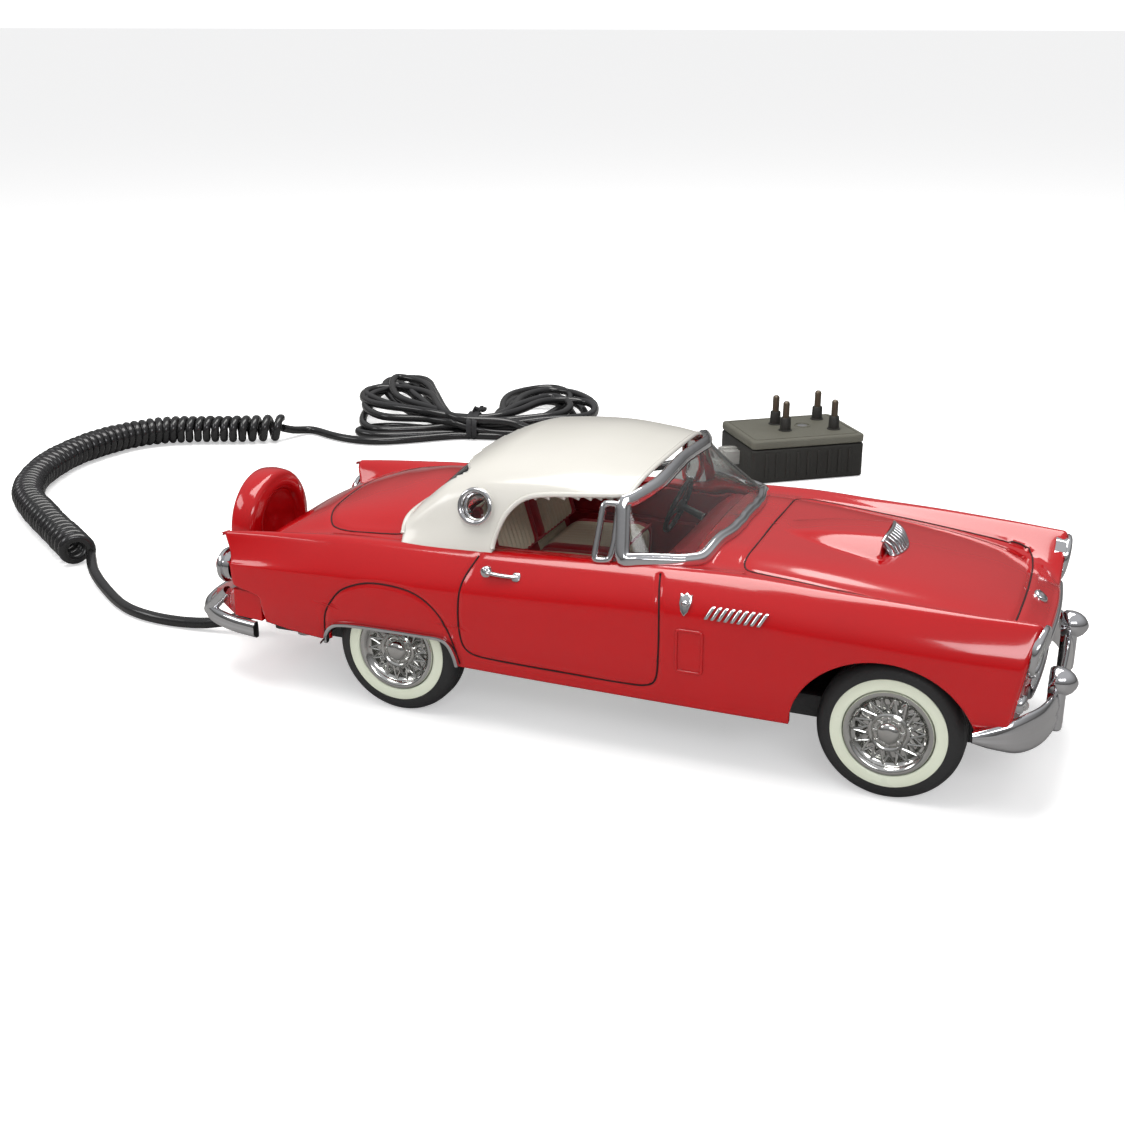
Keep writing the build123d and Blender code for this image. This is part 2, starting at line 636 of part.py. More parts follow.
with BuildPart() as interior_tub:
    with BuildSketch(Plane.XY.offset(TUB_Z0)):
        with Locations(((TUB_X0 + TUB_X1) / 2, 0)):
            RectangleRounded(TUB_X1 - TUB_X0, 2 * TUB_Y, 8.7)
    extrude(amount=TUB_Z1 - TUB_Z0)
    with BuildSketch(side_plane(0)):
        with Locations((REAR_X, TYRE_R)):
            Circle(WHEEL_HOUSE_R)
    extrude(amount=60, both=True, mode=Mode.SUBTRACT)
    with BuildSketch(Plane.XY.offset(TUB_Z0)):
        with Locations(((TUB_X0 + TUB_X1) / 2, 0)):
            RectangleRounded(TUB_X1 - TUB_X0, 2 * TUB_FLOOR_Y, 6)
    extrude(amount=20)
    with BuildSketch(Plane.XY.offset(TUB_Z0 + TUB_SKIN)):
        with Locations(((TUB_X0 + TUB_X1) / 2, 0)):
            RectangleRounded(TUB_X1 - TUB_X0 - 2 * TUB_SKIN, 2 * (TUB_FLOOR_Y - TUB_SKIN), 5)
    extrude(amount=30, mode=Mode.SUBTRACT)
    with BuildSketch(Plane.XY.offset(43)):
        with Locations(((TUB_X0 + TUB_X1) / 2, 0)):
            RectangleRounded(TUB_X1 - TUB_X0 - 2 * TUB_SKIN, 2 * (TUB_Y - TUB_SKIN), 7)
    extrude(amount=20, mode=Mode.SUBTRACT)
    with BuildSketch(side_plane(0)):
        with BuildLine():
            Polyline(*DASH, DASH[0])
        make_face()
    extrude(amount=32.5, both=True)
keep(interior_tub.part, "interior_tub")

SEAT_Y = 30.6
CUSHION = ((-44.0, 29.4), (-44.5, 40.0), (-42.0, 41.6), (-22.0, 42.6), (-18.6, 41.0), (-18.6, 29.4))
BACKREST = ((-43.9, 29.4), (-47.5, 42.0), (-44.2, 44.0), (-49.2, 60.0), (-51.2, 61.6), (-54.6, 60.8),
            (-55.0, 44.0), (-53.0, 42.4), (-52.6, 29.4))

with BuildPart() as seat:
    for outline in (CUSHION, BACKREST):
        with BuildSketch(side_plane(0)):
            with BuildLine():
                Polyline(*outline, outline[0])
            make_face()
        extrude(amount=SEAT_Y, both=True)
    with BuildSketch(Plane.XY.offset(29.3)):
        with Locations((-37, 0)):
            RectangleRounded(38, 2 * SEAT_Y, 4.5)
    extrude(amount=40, mode=Mode.INTERSECT)
keep(seat.part, "seat")

WHEEL_RIM_R, WHEEL_RIM_TUBE, WHEEL_X, WHEEL_Y, WHEEL_Z, COLUMN_TILT = 8.6, 0.75, -5.6, 17.5, 54.0, 20.0


def steering_plane():
    """The plane of the steering wheel; its normal runs back and up along the column."""
    return Plane(origin=(WHEEL_X, WHEEL_Y, WHEEL_Z), x_dir=(0, 1, 0),
                 z_dir=(-cos(radians(COLUMN_TILT)), 0, sin(radians(COLUMN_TILT))))


with BuildPart() as steering_wheel:
    with BuildSketch(Plane(origin=(WHEEL_X, WHEEL_Y, WHEEL_Z), x_dir=(0, 1, 0),
                           z_dir=(sin(radians(COLUMN_TILT)), 0, cos(radians(COLUMN_TILT))))):
        with Locations((WHEEL_RIM_R, 0)):
            Circle(WHEEL_RIM_TUBE)
    revolve(axis=Axis((WHEEL_X, WHEEL_Y, WHEEL_Z),
                      (-cos(radians(COLUMN_TILT)), 0, sin(radians(COLUMN_TILT)))))
    with BuildSketch(steering_plane().offset(-0.55)):
        for spoke_turn in (0, 180, 270):
            with Locations(Rotation(0, 0, spoke_turn) * Pos(WHEEL_RIM_R / 2, 0, 0)):
                Rectangle(WHEEL_RIM_R + 0.6, 1.5)
        Circle(2.2)
    extrude(amount=1.0)
    with BuildSketch(steering_plane()):
        Circle(1.1)
    extrude(amount=-8.0)
keep(steering_wheel.part, "steering_wheel")

# ---------------------------------------------------------------- nose brightwork
GRILLE_MID_Z = (GRILLE_Z0 + GRILLE_Z1) / 2
BAR_WIDTH, GRILLE_BARS, GRILLE_ROWS = 0.7, 17, 3


def between(profile_part, back, front):
    """The stretch of a lengthwise prism that lies between two nose surfaces shifted by back and front."""
    with BuildPart() as piece:
        add(profile_part)
        if back is not None:
            add(nose_tool(back), mode=Mode.INTERSECT)
        add(nose_tool(front), mode=Mode.SUBTRACT)
    return piece.part


def slot_prism(outer_y, outer_z, inner_y, inner_z):
    """A lengthwise oval tube round the grille opening."""
    with BuildPart() as prism:
        with BuildSketch(cross_plane(98.5)):
            with Locations((0, GRILLE_MID_Z)):
                SlotOverall(2 * outer_y, 2 * outer_z)
                SlotOverall(2 * inner_y, 2 * inner_z, mode=Mode.SUBTRACT)
        extrude(amount=18)
    return prism.part


def grille_mesh():
    """The egg-crate bars inside the grille's oval."""
    half_z = (GRILLE_Z1 - GRILLE_Z0) / 2 - 0.6
    with BuildPart() as mesh:
        with BuildSketch(cross_plane(98.5)):
            with Locations((0, GRILLE_MID_Z)):
                SlotOverall(2 * GRILLE_Y - 1.4, 2 * half_z)
            with Locations((0, GRILLE_MID_Z)):
                with GridLocations((2 * GRILLE_Y - 4) / GRILLE_BARS, 2 * half_z / (GRILLE_ROWS + 1),
                                   GRILLE_BARS + 1,
                                   GRILLE_ROWS + 1):
                    Rectangle((2 * GRILLE_Y - 4) / GRILLE_BARS - BAR_WIDTH,
                              2 * half_z / (GRILLE_ROWS + 1) - BAR_WIDTH,
                              mode=Mode.SUBTRACT)
        extrude(amount=18)
    return mesh.part


with BuildPart() as grille:
    add(between(slot_prism(GRILLE_Y + 1.2, (GRILLE_Z1 - GRILLE_Z0) / 2 + 1.2, GRILLE_Y - 1.0, 5.2), 0.05,
                1.3))
    add(between(slot_prism(GRILLE_Y - 0.15, (GRILLE_Z1 - GRILLE_Z0) / 2 - 0.15, GRILLE_Y - 1.0, 5.2), -3.4,
                0.6))
    add(between(grille_mesh(), -2.6, -1.2))
keep(grille.part, "grille")

BEZEL_R, LENS_R = 7.0, 5.2
TAIL_BEZEL_R, TAIL_LENS_R = 5.0, 3.7
PARK_Y, PARK_Z, PARK_R = 41.6, 32.6, 2.6


def lamp_tube(y, z, outer, inner):
    """A lengthwise tube for a lamp at (y, z) on both sides of the nose; inner 0 makes it a rod."""
    with BuildPart() as tube:
        with BuildSketch(cross_plane(99.5)):
            with Locations((y, z), (-y, z)):
                Circle(outer)
                if inner:
                    Circle(inner, mode=Mode.SUBTRACT)
        extrude(amount=18)
    return tube.part


with BuildPart() as lamp_bezels:
    add(between(lamp_tube(LAMP_Y, LAMP_Z, BEZEL_R, LENS_R + 0.1), 0.05, 1.4))
    add(between(lamp_tube(LAMP_Y, LAMP_Z, LAMP_R - 0.15, LENS_R + 0.1), -3.0, 0.6))
    add(between(lamp_tube(PARK_Y, PARK_Z, PARK_R, 1.6), 0.05, 1.6))
    for out in (-1, 1):
        with BuildSketch(cross_plane(-124.5)):
            with Locations((out * TAIL_LAMP_Y, TAIL_LAMP_Z)):
                Circle(TAIL_LAMP_R - 0.12)
                Circle(TAIL_LENS_R + 0.08, mode=Mode.SUBTRACT)
        extrude(amount=-6.6)
        with BuildSketch(cross_plane(-129.6)):
            with Locations((out * TAIL_LAMP_Y, TAIL_LAMP_Z)):
                Circle(TAIL_BEZEL_R + 0.3)
                Circle(TAIL_LENS_R + 0.08, mode=Mode.SUBTRACT)
        extrude(amount=-1.5)
keep(lamp_bezels.part, "lamp_bezels")

with BuildPart() as front_lamp_lenses:
    add(between(lamp_tube(LAMP_Y, LAMP_Z, LENS_R, 0), -2.0, 0.9))
    add(between(lamp_tube(PARK_Y, PARK_Z, 1.5, 0), 0.05, 2.6))
keep(front_lamp_lenses.part, "front_lamp_lenses")

with BuildPart() as tail_lamp_lenses:
    for out in (-1, 1):
        with BuildSketch(Plane(origin=(-126.0, out * TAIL_LAMP_Y, TAIL_LAMP_Z), x_dir=(-1, 0, 0),
                               z_dir=(0, 1, 0))):
            with BuildLine():
                Polyline((5.4, TAIL_LENS_R), (0, TAIL_LENS_R), (0, 0), (7.6, 0))
                ThreePointArc((7.6, 0), (6.95, 0.62 * TAIL_LENS_R), (5.4, TAIL_LENS_R))
            make_face()
        revolve(axis=Axis((0, out * TAIL_LAMP_Y, TAIL_LAMP_Z), (1, 0, 0)))
keep(tail_lamp_lenses.part, "tail_lamp_lenses")

# ---------------------------------------------------------------- bumpers and side trim
FRONT_BUMPER_PLAN = [(113.4, 0), (113.2, 14), (112.3, 26), (109.6, 36), (104.6, 43.2), (98.0, 47.0),
                     (93.6, 48.6)]
FRONT_BUMPER_SIDE = ((120, 29.8), (108, 29.8), (100, 27.4), (93.4, 25.4), (93.0, 22.6), (100, 20.2),
                     (107, 18.6),
                     (120, 18.2))
BUMPER_DEPTH = 2.4
CHEEK_X, CHEEK_Z0, CHEEK_LENGTH, CHEEK_WIDTH, CHEEK_HEIGHT = 101.0, 23.6, 4.0, 87.2, 8.0
GUARD_Y, GUARD_Z = 21.0, 31.4
REAR_BUMPER_PLAN = [(-149.4, 0), (-149.2, 14), (-148.3, 26), (-145.6, 34.2), (-139.5, 40.4), (-130.0, 44.6),
                    (-119.6, 46.6)]
REAR_BUMPER_Z0, REAR_BUMPER_Z1 = 16.6, 21.9


def body_front_tool():
    """The space the body takes up behind its nose, with a hair of air round it."""
    with BuildPart() as tool:
        add(skin_gap)
        add(nose_tool(0.05), mode=Mode.SUBTRACT)
    return tool.part


with BuildPart() as front_bumper:
    add(band_solid(FRONT_BUMPER_PLAN, BUMPER_DEPTH, 17.0, 31.0))
    add(side_prism(FRONT_BUMPER_SIDE, 0.0, 60.0), mode=Mode.INTERSECT)
    add(body_front_tool(), mode=Mode.SUBTRACT)
    # relief for the body's lower cheeks
    with BuildSketch(Plane.XY.offset(CHEEK_Z0)):
        with Locations((CHEEK_X, 0)):
            Rectangle(CHEEK_LENGTH, CHEEK_WIDTH)
    extrude(amount=CHEEK_HEIGHT, mode=Mode.SUBTRACT)
    for out in (-1, 1):
        with BuildSketch(Plane(origin=(111.9, out * GUARD_Y, GUARD_Z), x_dir=(1, 0, 0), z_dir=(0, 1, 0))):
            with BuildLine():
                Polyline((-3.0, 0), (-3.0, 3.9), (1.2, 3.7), (1.2, 0), (-3.0, 0))
            make_face()
            with BuildLine():
                Line((1.2, 3.7), (1.2, 0))
                Line((1.2, 0), (4.4, 0))
                ThreePointArc((4.4, 0), (3.4, 2.3), (1.2, 3.7))
            make_face()
        revolve(axis=Axis((0, out * GUARD_Y, GUARD_Z), (1, 0, 0)))
        with BuildSketch(Plane.XY.offset(18.6)):
            with Locations((110.9, out * GUARD_Y)):
                RectangleRounded(3.8, 6.4, 1.4)
        extrude(amount=14)
keep(front_bumper.part, "front_bumper")

with BuildPart() as rear_bumper:
    add(band_solid(REAR_BUMPER_PLAN, -BUMPER_DEPTH, REAR_BUMPER_Z0, REAR_BUMPER_Z1))
    for out in (-1, 1):
        with BuildSketch(Plane(origin=(-142.4, out * 36.6, 19.4), z_dir=(13.6, out * 6.2, 12.2))):
            Ellipse(1.3, 2.0)
        extrude(amount=17.0)
    add(tail_valance.part, mode=Mode.SUBTRACT)
keep(rear_bumper.part, "rear_bumper")

LOUVRE_COUNT, LOUVRE_X, LOUVRE_PITCH, LOUVRE_Z0, LOUVRE_Z1, LOUVRE_LEAN = 9, 22.6, 1.78, 46.1, 49.6, 2.0
TRIM_Y0, TRIM_Y1 = 45.0, 49.9

with BuildPart() as fender_trims:
    for index in range(LOUVRE_COUNT):
        left = LOUVRE_X + index * LOUVRE_PITCH
        bar = ((left, LOUVRE_Z0), (left + 1.15, LOUVRE_Z0), (left + 1.15 + LOUVRE_LEAN, LOUVRE_Z1),
               (left + LOUVRE_LEAN, LOUVRE_Z1))
        add(side_prism(bar, TRIM_Y0, TRIM_Y1))
    add(side_prism(((15.6, 51.8), (19.0, 51.8), (19.0, 48.6), (17.3, 46.0), (15.6, 48.6)), TRIM_Y0,
                   TRIM_Y1 - 0.3))
    add(skin_gap, mode=Mode.SUBTRACT)
keep(fender_trims.part, "fender_trims")

HANDLE = ((-42.8, 48.2), (-42.8, 50.2), (-39.6, 50.6), (-31.0, 50.0), (-31.0, 48.8), (-38.6, 48.2))

with BuildPart() as door_handles:
    add(side_prism(HANDLE, 44.0, 49.6))
    add(skin_gap, mode=Mode.SUBTRACT)
keep(door_handles.part, "door_handles")

MOULDING_PATH = ((-94.5, 19.4), (-92.7, 23.6), (-89.1, 26.3), (-71.7, 27.5), (-54.2, 27.7), (-52.0, 25.4),
                 (-50.8, 19.4))
MOULDING_WIDTH = 1.4

with BuildPart() as skirt_trims:
    moulding = shifted(MOULDING_PATH, -0.05) + shifted(MOULDING_PATH, -0.05 - MOULDING_WIDTH)[::-1]
    add(side_prism(moulding, 45.6, 48.2))
keep(skirt_trims.part, "skirt_trims")

# ---------------------------------------------------------------- chassis pan and the works inside it
PAN_X0, PAN_X1 = -119.5, 97.5
WING_Y, WING_X0, WING_X1 = 43.7, -47.5, 44.5
TAIL_WING_X0, TAIL_WING_X1, TAIL_WING_Y = -115.5, -97.5, 41.8
KEY_ROWS, KEY_COLUMNS = 4, 3
KEY_ROUND, KEY_CLEARANCE = 1.6, 0.2
HOOK_SLEEVE_R, HOOK_SLEEVE_Z = 5.0, 9.0
RECEIVER_X, RECEIVER_R, RECEIVER_Z1 = 46.0, 14.0, 21.5
MIC_X, MIC_R, MIC_Z1 = -106.0, 5.0, 19.5
SLIDE_X, SLIDE_Y, SLIDE_LENGTH, SLIDE_WIDTH, SLIDE_TRAVEL = 12.0, 37.5, 3.0, 2.0, 1.5
SCREW_HEAD_R, SCREW_SHANK_R, SCREW_HOLE_R, SCREW_HEAD_DEPTH = 2.5, 1.4, 1.75, 1.3
RELIEF_X, RELIEF_Y, RELIEF_Z, RELIEF_R = -119.5, -8.0, 17.4, 2.6
REST = 0.05


def key_place(row, column):
    """Where a key sits in plan; row 0 is nearest the earpiece, column 0 the left one seen from below."""
    return (KEY_X0 - row * KEY_PITCH_X, (column - 1) * KEY_PITCH_Y)


KEY_PLACES = [key_place(row, column) for row in range(KEY_ROWS) for column in range(KEY_COLUMNS)]

with BuildPart() as chassis_pan:
    with BuildSketch(Plane.XY.offset(PAN_BOTTOM)):
        with Locations(((PAN_X0 + PAN_X1) / 2, 0)):
            RectangleRounded(PAN_X1 - PAN_X0, 2 * TRAY_HALF_Y, 4)
    extrude(amount=FLANGE_Z + FLANGE_SKIN - PAN_BOTTOM)
    with BuildSketch(Plane.XY.offset(FLANGE_Z)):
        with Locations(((WING_X0 + WING_X1) / 2, 0)):
            RectangleRounded(WING_X1 - WING_X0, 2 * WING_Y, 2)
        with Locations(((TAIL_WING_X0 + TAIL_WING_X1) / 2, 0)):
            RectangleRounded(TAIL_WING_X1 - TAIL_WING_X0, 2 * TAIL_WING_Y, 2)
    extrude(amount=FLANGE_SKIN)
    with BuildSketch(Plane.XY.offset(PAN_TOP)):
        with Locations(((PAN_X0 + PAN_X1) / 2, 0)):
            RectangleRounded(PAN_X1 - PAN_X0 - 2 * PAN_SKIN, 2 * (TRAY_HALF_Y - PAN_SKIN), 2.2)
    extrude(amount=20, mode=Mode.SUBTRACT)
    with BuildSketch(side_plane(0)):
        for axle_x in (FRONT_X, REAR_X):
            with Locations((axle_x, TYRE_R + 5)):
                Rectangle(2 * AXLE_R + 0.6, 10)
            with Locations((axle_x, TYRE_R)):
                Circle(AXLE_R + 0.3)
    extrude(amount=60, both=True, mode=Mode.SUBTRACT)
    with BuildSketch(Plane.XY.offset(PAN_BOTTOM)):
        with Locations(*KEY_PLACES):
            RectangleRounded(KEY_SIZE[0] + 2 * KEY_CLEARANCE, KEY_SIZE[1] + 2 * KEY_CLEARANCE, KEY_ROUND)
    extrude(amount=PAN_SKIN, mode=Mode.SUBTRACT)
    with BuildSketch(Plane.XY.offset(HOOK_SLEEVE_Z)):
        Circle(HOOK_SLEEVE_R)
    extrude(amount=PAN_BOTTOM - HOOK_SLEEVE_Z)
    with BuildSketch(Plane.XY.offset(HOOK_SLEEVE_Z)):
        Circle(HOOK_STEM_R + KEY_CLEARANCE)
    extrude(amount=PAN_TOP - HOOK_SLEEVE_Z, mode=Mode.SUBTRACT)
    with BuildSketch(Plane.XY.offset(PAN_BOTTOM)):
        with Locations((RECEIVER_X, 0)):
            Circle(1.0)
            with PolarLocations(4.0, 6):
                Circle(1.0)
            with PolarLocations(8.0, 12):
                Circle(1.0)
        with Locations((MIC_X, 0)):
            with GridLocations(0, 2.6, 1, 3):
                SlotOverall(6.0, 1.0, rotation=0)
    extrude(amount=PAN_SKIN, mode=Mode.SUBTRACT)
    with BuildSketch(Plane.XY.offset(FLANGE_Z)):
        with Locations((SLIDE_X, SLIDE_Y), (SLIDE_X, -SLIDE_Y)):
            Rectangle(SLIDE_LENGTH + 2 * SLIDE_TRAVEL + 0.4, SLIDE_WIDTH + 0.3)
        with Locations(*[(x, out * y) for x, y in BOSSES for out in (-1, 1)]):
            Circle(SCREW_HOLE_R)
    extrude(amount=FLANGE_SKIN, mode=Mode.SUBTRACT)
    with BuildSketch(cross_plane(PAN_X0)):
        with Locations((RELIEF_Y, RELIEF_Z)):
            Circle(RELIEF_R + 0.1)
    extrude(amount=PAN_SKIN, mode=Mode.SUBTRACT)
keep(chassis_pan.part, "chassis_pan")

KEY_BOTTOM, KEY_LIP, KEY_LIP_Z = 12.6, 0.7, 0.85
KEY_NAMES = ("key_1", "key_2", "key_3", "key_4", "key_5", "key_6", "key_7", "key_8", "key_9", "key_star",
             "key_0",
             "key_hash")


def key_cap(place):
    """One key: a cap with a dished face that stands below the pan and a lip that stops it falling out."""
    with BuildPart() as cap:
        with BuildSketch(Plane.XY.offset(KEY_BOTTOM)):
            with Locations(place):
                RectangleRounded(KEY_SIZE[0], KEY_SIZE[1], KEY_ROUND)
        extrude(amount=PAN_TOP + REST - KEY_BOTTOM)
        fillet(cap.faces().sort_by(Axis.Z)[0].edges(), 0.6)
        with BuildSketch(Plane.XY.offset(PAN_TOP + REST)):
            with Locations(place):
                RectangleRounded(KEY_SIZE[0] + 2 * KEY_LIP, KEY_SIZE[1] + 2 * KEY_LIP, KEY_ROUND)
        extrude(amount=KEY_LIP_Z)
    return cap.part


for name, place in zip(KEY_NAMES, KEY_PLACES):
    keep(key_cap(place), name)

MAT_Z0, MAT_SKIN, DOME_RISE, BOARD_Z0, BOARD_SKIN = 18.3, 0.9, 0.9, 20.15, 1.5
MAT_X = KEY_X0 - 1.5 * KEY_PITCH_X
BOARD_X0, BOARD_X1, BOARD_Y = -66.0, -8.0, 26.5
CHIPS = ((-18, 6, 12, 7, 2.4), (-38, -12, 8, 16, 2.4), (-54, 10, 10, 6, 2.0), (-30, 18, 6, 4, 3.2))
CANS = ((-24, -12, 3.0, 5.4), (-56, -10, 2.4, 5.0), (-46, 18, 2.0, 4.0))

with BuildPart() as keypad_mat:
    with BuildSketch(Plane.XY.offset(MAT_Z0)):
        with Locations((MAT_X, 0)):
            RectangleRounded(KEY_ROWS * KEY_PITCH_X + 2, KEY_COLUMNS * KEY_PITCH_Y, 2)
    extrude(amount=MAT_SKIN)
    with BuildSketch(Plane.XY.offset(MAT_Z0 + MAT_SKIN)):
        with Locations(*KEY_PLACES):
            Circle(2.8)
    extrude(amount=DOME_RISE, taper=20)
keep(keypad_mat.part, "keypad_mat")

with BuildPart() as circuit_board:
    with BuildSketch(Plane.XY.offset(BOARD_Z0)):
        with Locations(((BOARD_X0 + BOARD_X1) / 2, 0)):
            Rectangle(BOARD_X1 - BOARD_X0, 2 * BOARD_Y)
    extrude(amount=BOARD_SKIN)
    for chip_x, chip_y, length, width, height in CHIPS:
        with BuildSketch(Plane.XY.offset(BOARD_Z0 + BOARD_SKIN)):
            with Locations((chip_x, chip_y)):
                Rectangle(length, width)
        extrude(amount=height)
    for can_x, can_y, radius, height in CANS:
        with BuildSketch(Plane.XY.offset(BOARD_Z0 + BOARD_SKIN)):
            with Locations((can_x, can_y)):
                Circle(radius)
        extrude(amount=height)
    with BuildSketch(Plane.XY.offset(PAN_TOP + REST)):
        with GridLocations(BOARD_X1 - BOARD_X0 - 3, 2 * BOARD_Y - 3, 2, 2):
            Circle(0.1, mode=Mode.PRIVATE)
        with Locations(((BOARD_X0 + BOARD_X1) / 2, 0)):
            with GridLocations(BOARD_X1 - BOARD_X0 - 4, 2 * BOARD_Y - 4, 2, 2):
                Circle(1.6)
    extrude(amount=BOARD_Z0 - PAN_TOP - REST)
keep(circuit_board.part, "circuit_board")


def floor_disc(x, radius, top):
    """A round unit that stands on the pan's floor."""
    with BuildPart() as disc:
        with BuildSketch(Plane.XY.offset(PAN_TOP + REST)):
            with Locations((x, 0)):
                Circle(radius)
        extrude(amount=top - PAN_TOP - REST)
        chamfer(disc.faces().sort_by(Axis.Z)[-1].edges(), 0.8)
    return disc.part


with BuildPart() as receiver:
    add(floor_disc(RECEIVER_X, RECEIVER_R, RECEIVER_Z1))
    with BuildSketch(Plane.XY.offset(RECEIVER_Z1 - 0.01)):
        with Locations((RECEIVER_X, 0)):
            Circle(6.5)
    extrude(amount=1.8)
keep(receiver.part, "receiver")

with BuildPart() as microphone:
    add(floor_disc(MIC_X, MIC_R, MIC_Z1))
keep(microphone.part, "microphone")

COLLAR_Z, COLLAR_SKIN, COLLAR_R = PAN_TOP + HOOK_TRAVEL + 0.1, 1.4, 4.6
SWITCH_Z0, SWITCH_Z1 = 21.2, 26.4

with BuildPart() as hook_plunger:
    with BuildSketch(Plane.XY):
        Circle(HOOK_STEM_R)
    extrude(amount=COLLAR_Z)
    chamfer(hook_plunger.faces().sort_by(Axis.Z)[0].edges(), 0.5)
    with BuildSketch(Plane.XY.offset(COLLAR_Z)):
        Circle(COLLAR_R)
    extrude(amount=COLLAR_SKIN)
keep(hook_plunger.part, "hook_plunger")

with BuildPart() as hook_switch:
    with BuildSketch(Plane.XY.offset(PAN_TOP + REST)):
        with Locations((0, 6.6), (0, -6.6)):
            Rectangle(9, 2.4)
    extrude(amount=SWITCH_Z0 - PAN_TOP - REST)
    with BuildSketch(Plane.XY.offset(SWITCH_Z0)):
        Rectangle(11, 15.6)
    extrude(amount=SWITCH_Z1 - SWITCH_Z0)
keep(hook_switch.part, "hook_switch")


def slide_knob(y):
    """A slide-switch knob in the pan's flange: ribbed grip below, stem through the slot, plate on top."""
    with BuildPart() as knob:
        with BuildSketch(Plane.XY.offset(FLANGE_Z - 1.2)):
            with Locations((SLIDE_X, y)):
                Rectangle(SLIDE_LENGTH, SLIDE_WIDTH)
        extrude(amount=FLANGE_SKIN + 1.2 + REST)
        with BuildSketch(Plane.XY.offset(FLANGE_Z + FLANGE_SKIN + REST)):
            with Locations((SLIDE_X, y)):
                Rectangle(SLIDE_LENGTH + 4, SLIDE_WIDTH + 2.4)
        extrude(amount=0.9)
    return knob.part


keep(slide_knob(-SLIDE_Y), "ringer_knob")
keep(slide_knob(SLIDE_Y), "dial_mode_knob")

with BuildPart() as ballast:
    with BuildSketch(Plane.XY.offset(PAN_TOP + REST)):
        with Locations((86, 0)):
            RectangleRounded(15, 52, 2)
    extrude(amount=10)
keep(ballast.part, "ballast")

with BuildPart() as case_screws:
    for screw_x, screw_y in BOSSES:
        for out in (-1, 1):
            with BuildSketch(Plane.XY.offset(FLANGE_Z - SCREW_HEAD_DEPTH - REST)):
                with Locations((screw_x, out * screw_y)):
                    Circle(SCREW_HEAD_R)
            extrude(amount=SCREW_HEAD_DEPTH)
            with BuildSketch(Plane.XY.offset(FLANGE_Z - REST)):
                with Locations((screw_x, out * screw_y)):
                    Circle(SCREW_SHANK_R)
            extrude(amount=9)
            with BuildSketch(Plane.XY.offset(FLANGE_Z - SCREW_HEAD_DEPTH - REST)):
                with Locations((screw_x, out * screw_y)):
                    Rectangle(3.0, 0.6)
                    Rectangle(0.6, 3.0)
            extrude(amount=0.7, mode=Mode.SUBTRACT)
keep(case_screws.part, "case_screws")

# ---------------------------------------------------------------- wheels
TYRE_IN_Y, TYRE_OUT_Y = 34.2, 44.4
TYRE_BEAD_R = 12.1
WHITEWALL_RECESS = 0.45
COVER_BACK_Y = 35.4
TYRE_PROFILE = ((35.6, TYRE_BEAD_R), (34.3, 14.4), (34.2, 16.6), (35.3, 18.8), (37.2, 19.5), (41.4, 19.5),
                (43.2, 18.9), (44.3, 16.9))
COVER_PROFILE = ((COVER_BACK_Y, AXLE_R + 0.02), (COVER_BACK_Y, 11.2), (42.6, 12.04), (43.6, 12.04),
                 (44.1, 11.4),
                 (43.9, 9.2), (42.2, 8.7), (42.2, 5.9), (43.9, 5.4), (44.2, 4.4), (43.5, 3.9), (43.7, 3.2),
                 (44.4, 1.2), (45.2, 0.9), (45.3, 0.0), (41.2, 0.0), (41.2, AXLE_R + 0.02))


def wheel_plane(x, out):
    """A plane through an axle's centre line; its x runs outwards and its y up."""
    return Plane(origin=(x, 0, TYRE_R), x_dir=(0, out, 0), z_dir=(out, 0, 0))


def turned(x, outline):
    """The outline, as (distance out, radius), turned about the axle at x on both sides of the car."""
    with BuildPart() as ring:
        for out in (-1, 1):
            with BuildSketch(wheel_plane(x, out)):
                with BuildLine():
                    Polyline(*outline, outline[0])
                make_face()
            revolve(axis=Axis((x, 0, TYRE_R), (0, 1, 0)))
    return ring.part


def tyre_pair(x):
    """Two tyres with a rounded tread and a shallow recess for the whitewall."""
    with BuildPart() as pair:
        for out in (-1, 1):
            with BuildSketch(wheel_plane(x, out)):
                with BuildLine():
                    Spline(*TYRE_PROFILE)
                    Polyline(TYRE_PROFILE[-1], (TYRE_OUT_Y, WHITEWALL_R + 0.05),
                             (TYRE_OUT_Y - WHITEWALL_RECESS, WHITEWALL_R + 0.05),
                             (TYRE_OUT_Y - WHITEWALL_RECESS, TYRE_BEAD_R), TYRE_PROFILE[0])
                make_face()
            revolve(axis=Axis((x, 0, TYRE_R), (0, 1, 0)))
    return pair.part


def axle(x):
    """The axle rod with a grooved collar just inside each side wall of the pan."""
    with BuildPart() as rod:
        with BuildSketch(side_plane(-41.0)):
            with Locations((x, TYRE_R)):
                Circle(AXLE_R)
        extrude(amount=-82.0)
        for out in (-1, 1):
            with BuildSketch(side_plane(out * (TRAY_HALF_Y + 0.4))):
                with Locations((x, TYRE_R)):
                    Circle(2.6)
            extrude(amount=-out * 2.2)
    return rod.part


WHITEWALL_PROFILE = ((TYRE_OUT_Y - WHITEWALL_RECESS + 0.02, TYRE_BEAD_R + 0.05),
                     (TYRE_OUT_Y - 0.2, TYRE_BEAD_R + 0.05),
                     (TYRE_OUT_Y + 0.3, 13.6), (TYRE_OUT_Y + 0.15, WHITEWALL_R),
                     (TYRE_OUT_Y - WHITEWALL_RECESS + 0.02, WHITEWALL_R))

for end, axle_x in (("front", FRONT_X), ("rear", REAR_X)):
    keep(axle(axle_x), f"{end}_axle")
    keep(tyre_pair(axle_x), f"{end}_tyres")
    keep(turned(axle_x, WHITEWALL_PROFILE), f"{end}_whitewalls")
    keep(turned(axle_x, COVER_PROFILE), f"{end}_wheel_covers")

